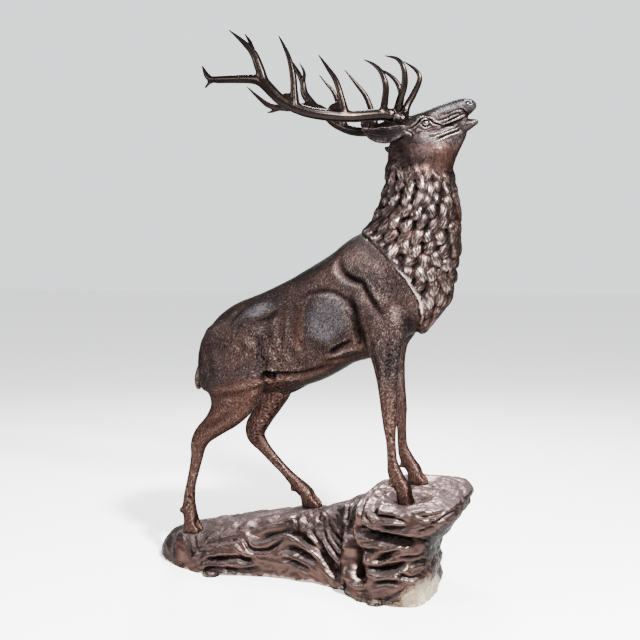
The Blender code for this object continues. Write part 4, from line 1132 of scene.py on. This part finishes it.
def makeRock():
    bm = bmesh.new()
    ledgeBlock(bm)
    slabBlock(bm)
    piece = moulded("rockPiece", bm, rock["voxel"])
    points = readPoints(piece)
    points = evenOut(points, readEdges(piece), 30)
    movePoints(piece, points)
    normals = readPoints(piece, "normal")
    x, y, z = points.T
    rise = 0.05 * (x - hooves["nearFore"][0]) + 0.06 * y
    points[:, 2] += rise * np.clip(z / rock["ledge"], 0, 1) ** 3
    turned = np.clip(4 * x / rock["length"] - 0.5, 0, 1) * np.clip(1.6 - 2 * z / rock["ledge"], 0.3, 1)
    points[:, 0] -= rock["footTurn"] * y * turned
    points += normals * rockFolds(points, normals)[:, None]
    points = evenOut(points, readEdges(piece), 2)
    # the rock swells up round each hoof and is flat under it
    for x, y, seat in hooves.values():
        reach = np.hypot(points[:, 0] - x, points[:, 1] - y) / rock["seatRadius"]
        upper = (points[:, 2] > seat - 0.12) & (normals[:, 2] > 0)
        pull = np.clip(1.9 - 0.9 * reach, 0, 1) * upper
        points[:, 2] += (seat + rock["seatDepth"] - points[:, 2]) * pull
        sunk = ramp(reach, 1.12, -0.10) * upper
        points[:, 2] += (seat - points[:, 2]) * sunk
    movePoints(piece, points)
    bm = bmesh.new()
    bm.from_mesh(piece.data)
    bmesh.ops.bisect_plane(bm, geom=[*bm.verts, *bm.edges, *bm.faces], dist=1e-5, plane_co=(0, 0, 0),
                           plane_no=(0, 0, 1), clear_inner=True)
    closeHoles(bm)
    for along, aside in rock["lugs"]:
        made = bmesh.ops.create_cone(bm, cap_ends=True, segments=40, radius1=rock["lugRadius"],
                                     radius2=rock["lugRadius"] * 0.9, depth=rock["lugHeight"])["verts"]
        place = (along * rock["length"], aside * rock["width"], rock["lugHeight"] / 2)
        bmesh.ops.translate(bm, verts=made, vec=place)
    bm.to_mesh(piece.data)
    bm.free()
    points = np.clip(readPoints(piece), np.array(rockBox[0]), np.array(rockBox[1]))
    movePoints(piece, points)
    x, y, z = points.T
    onLug = (z < 0.025) & (y < -0.28)
    upward = readPoints(piece, "normal")[:, 2]
    # painted shade: the steep faces towards the front are made darker
    front = ramp(x, 0.28, 0.06) * np.clip(0.6 - upward, 0, 1)      # the steep front is darker
    crests = np.clip(raisedParts(piece, 20, 0.024) - 0.17 * front, 0, 1)
    note(piece, "raised", np.where(onLug, 0.35, crests))
    note(piece, "flow", np.stack([x + z * 0.4, z - x * 0.3, y], axis=1))
    # painted light: faces that look up, the ledge's top most, get the pale sheen colour
    paintedTopLight = np.clip(upward * 2 - 0.7, 0, 1)
    note(piece, "paintedSheenAndRed", np.clip(0.45 * paintedTopLight * ramp(z, 0.36, 0.05) + 0.95 * paintedTopLight - 0.25, -1, 1))
    # bare at the foot of the front and on the lugs, and paler in a band along the ground
    worn = np.exp(-(((x - 0.640) / 0.130) ** 2 + ((z + 0.010) / 0.120) ** 2)) * np.clip(-y * 6 + 0.4, 0, 1)
    worn = np.maximum(worn, np.where(onLug, 0.45, 0.34 * bell(z, -0.02, 0.03) * (x > 0)))
    note(piece, "worn", worn)
    return piece


# Finishes

# the sheen colours in these looks are painted light: a pale tint for tops and rounded forms
patina = {
    "dark": (0.0020, 0.0014, 0.0016), "brown": (0.0180, 0.0128, 0.0120), "red": (0.035, 0.0168, 0.0128),
    "plum": (0.018, 0.0155, 0.0200), "paintedSheen": (0.048, 0.0460, 0.0530), "pale": (0.135, 0.1080, 0.0950),
    "rim": (0.10, 0.09, 0.09),     # how bright the metal turns when seen edge on
    "metallic": 0.92, "coat": 0.0, "coatRoughness": 0.22, "roughness": 0.40, "hollowDull": 0.5,
    "plumSpan": (0.56, 0.72), "paintedSheenSpan": (0.25, 1.0), "strokeSpan": (0.28, 0.72),
    "patchSize": 5.0, "patchShade": 0.35, "speckSize": 160.0, "speckShade": 0.42, "speckDepth": 0.0003,
    "darkSpan": (0.18, 0.56), "paleSpan": (0.70, 1.04),
    "strokes": (90.0, 330.0, 160.0), "strokeCurl": 0.15, "strokeShade": 0.68, "strokeDepth": 0.0012,
}
neckPatina = {**patina, "strokes": (60.0, 100.0, 60.0), "darkSpan": (0.22, 0.54), "paleSpan": (0.54, 0.92),
              "strokeDepth": 0.0006, "strokeShade": 0.30, "speckShade": 0.30, "pale": (0.260, 0.210, 0.185),
              "roughness": 0.38}
looks = {
    "bodyBronze": patina,
    "neckBronze": neckPatina,
    "faceBronze": {**neckPatina, "strokes": (60.0, 140.0, 90.0), "strokeShade": 0.24,
                   "pale": (0.200, 0.1650, 0.1480)},
    "antlerBronze": {**patina, "strokes": (6.0, 120.0, 120.0), "strokeDepth": 0.0002, "strokeShade": 0.10,
                     "speckShade": 0.08, "speckDepth": 0.0001, "roughness": 0.30,
                     "brown": (0.0085, 0.0068, 0.0060), "red": (0.013, 0.0085, 0.0070),
                     "paintedSheen": (0.026, 0.0210, 0.0180)},
    "rockBronze": {**patina, "strokes": (6.0, 30.0, 10.0), "strokeDepth": 0.0010, "strokeShade": 0.20,
                   "speckShade": 0.35, "roughness": 0.36, "brown": (0.028, 0.0195, 0.0175),
                   "red": (0.052, 0.0280, 0.0230), "paintedSheen": (0.190, 0.1400, 0.1350), "coat": 0.04,
                   "darkSpan": (0.24, 0.52), "worn": ((0.27, 0.25, 0.17), (0.11, 0.08, 0.055)),
                   "wornSpan": (0.42, 0.70), "wornDull": 0.22, "wornBare": 0.75},
}

finishPiece(makeBody(), "stag", castBronze("bodyBronze", looks["bodyBronze"]))
print("stage 2: torso and legs")
finishPiece(makeMane(), "stag", castBronze("neckBronze", looks["neckBronze"]))
print("stage 3: mane")
finishPiece(makeHead(), "stag", castBronze("faceBronze", looks["faceBronze"]))
print("stage 4: head")
antlerBronze = castBronze("antlerBronze", looks["antlerBronze"])
for side in (-1, 1):
    finishPiece(makeAntler(side), "stag", antlerBronze)
print("stage 5: antlers")
finishPiece(makeRock(), "rock_base", castBronze("rockBronze", looks["rockBronze"]))
print("stage 6: rock")

# Studio

studio = {
    "floorSize": 60.0, "floorColour": (0.92, 0.915, 0.90), "floorRoughness": 0.8,
    "sky": (0.95, 0.97, 1.00), "skyStrength": 1.60,
    "cameraPlace": (1.689, -4.182, 1.47), "cameraTurn": 22.0, "cameraDip": 2.97,
    "focal": 52.03, "sensor": 36.0,
    "lamps": [
        # place, size, watts: they all aim at the stag's chest
        ((3.2, -2.9, 5.0), 0.7, 3200), ((-3.6, -2.6, 3.4), 1.6, 260), ((-1.6, 3.6, 4.6), 1.6, 600),
    ],
    "aim": (0.1, 0.0, 1.35),
}


def makeStudio():
    bm = bmesh.new()
    bmesh.ops.create_grid(bm, x_segments=1, y_segments=1, size=studio["floorSize"])
    floor = newPiece("floor", bm)
    surface = bpy.data.materials.new("paleFloor")
    surface.use_nodes = True
    shader = surface.node_tree.nodes["Principled BSDF"]
    shader.inputs["Base Color"].default_value = (*studio["floorColour"], 1)
    shader.inputs["Roughness"].default_value = studio["floorRoughness"]
    floor.data.materials.append(surface)
    world = bpy.data.worlds.new("studioSky")
    bpy.context.scene.world = world
    world.use_nodes = True
    sky = world.node_tree.nodes["Background"]
    sky.inputs["Color"].default_value = (*studio["sky"], 1)
    sky.inputs["Strength"].default_value = studio["skyStrength"]
    for i, (where, size, watts) in enumerate(studio["lamps"]):
        light = bpy.data.lights.new("softbox", "AREA")
        light.shape, light.size, light.energy = "DISK", size, watts
        lamp = bpy.data.objects.new("softbox" + str(i), light)
        lamp.location = where
        lamp.rotation_euler = (Vector(studio["aim"]) - Vector(where)).to_track_quat("-Z", "Y").to_euler()
        bpy.context.scene.collection.objects.link(lamp)
    lens = bpy.data.cameras.new("camera")
    lens.lens, lens.sensor_width = studio["focal"], studio["sensor"]
    camera = bpy.data.objects.new("camera", lens)
    camera.location = studio["cameraPlace"]
    camera.rotation_euler = (math.radians(90 - studio["cameraDip"]), 0, math.radians(studio["cameraTurn"]))
    bpy.context.scene.collection.objects.link(camera)
    bpy.context.scene.camera = camera


makeStudio()
print("stage 7: studio")
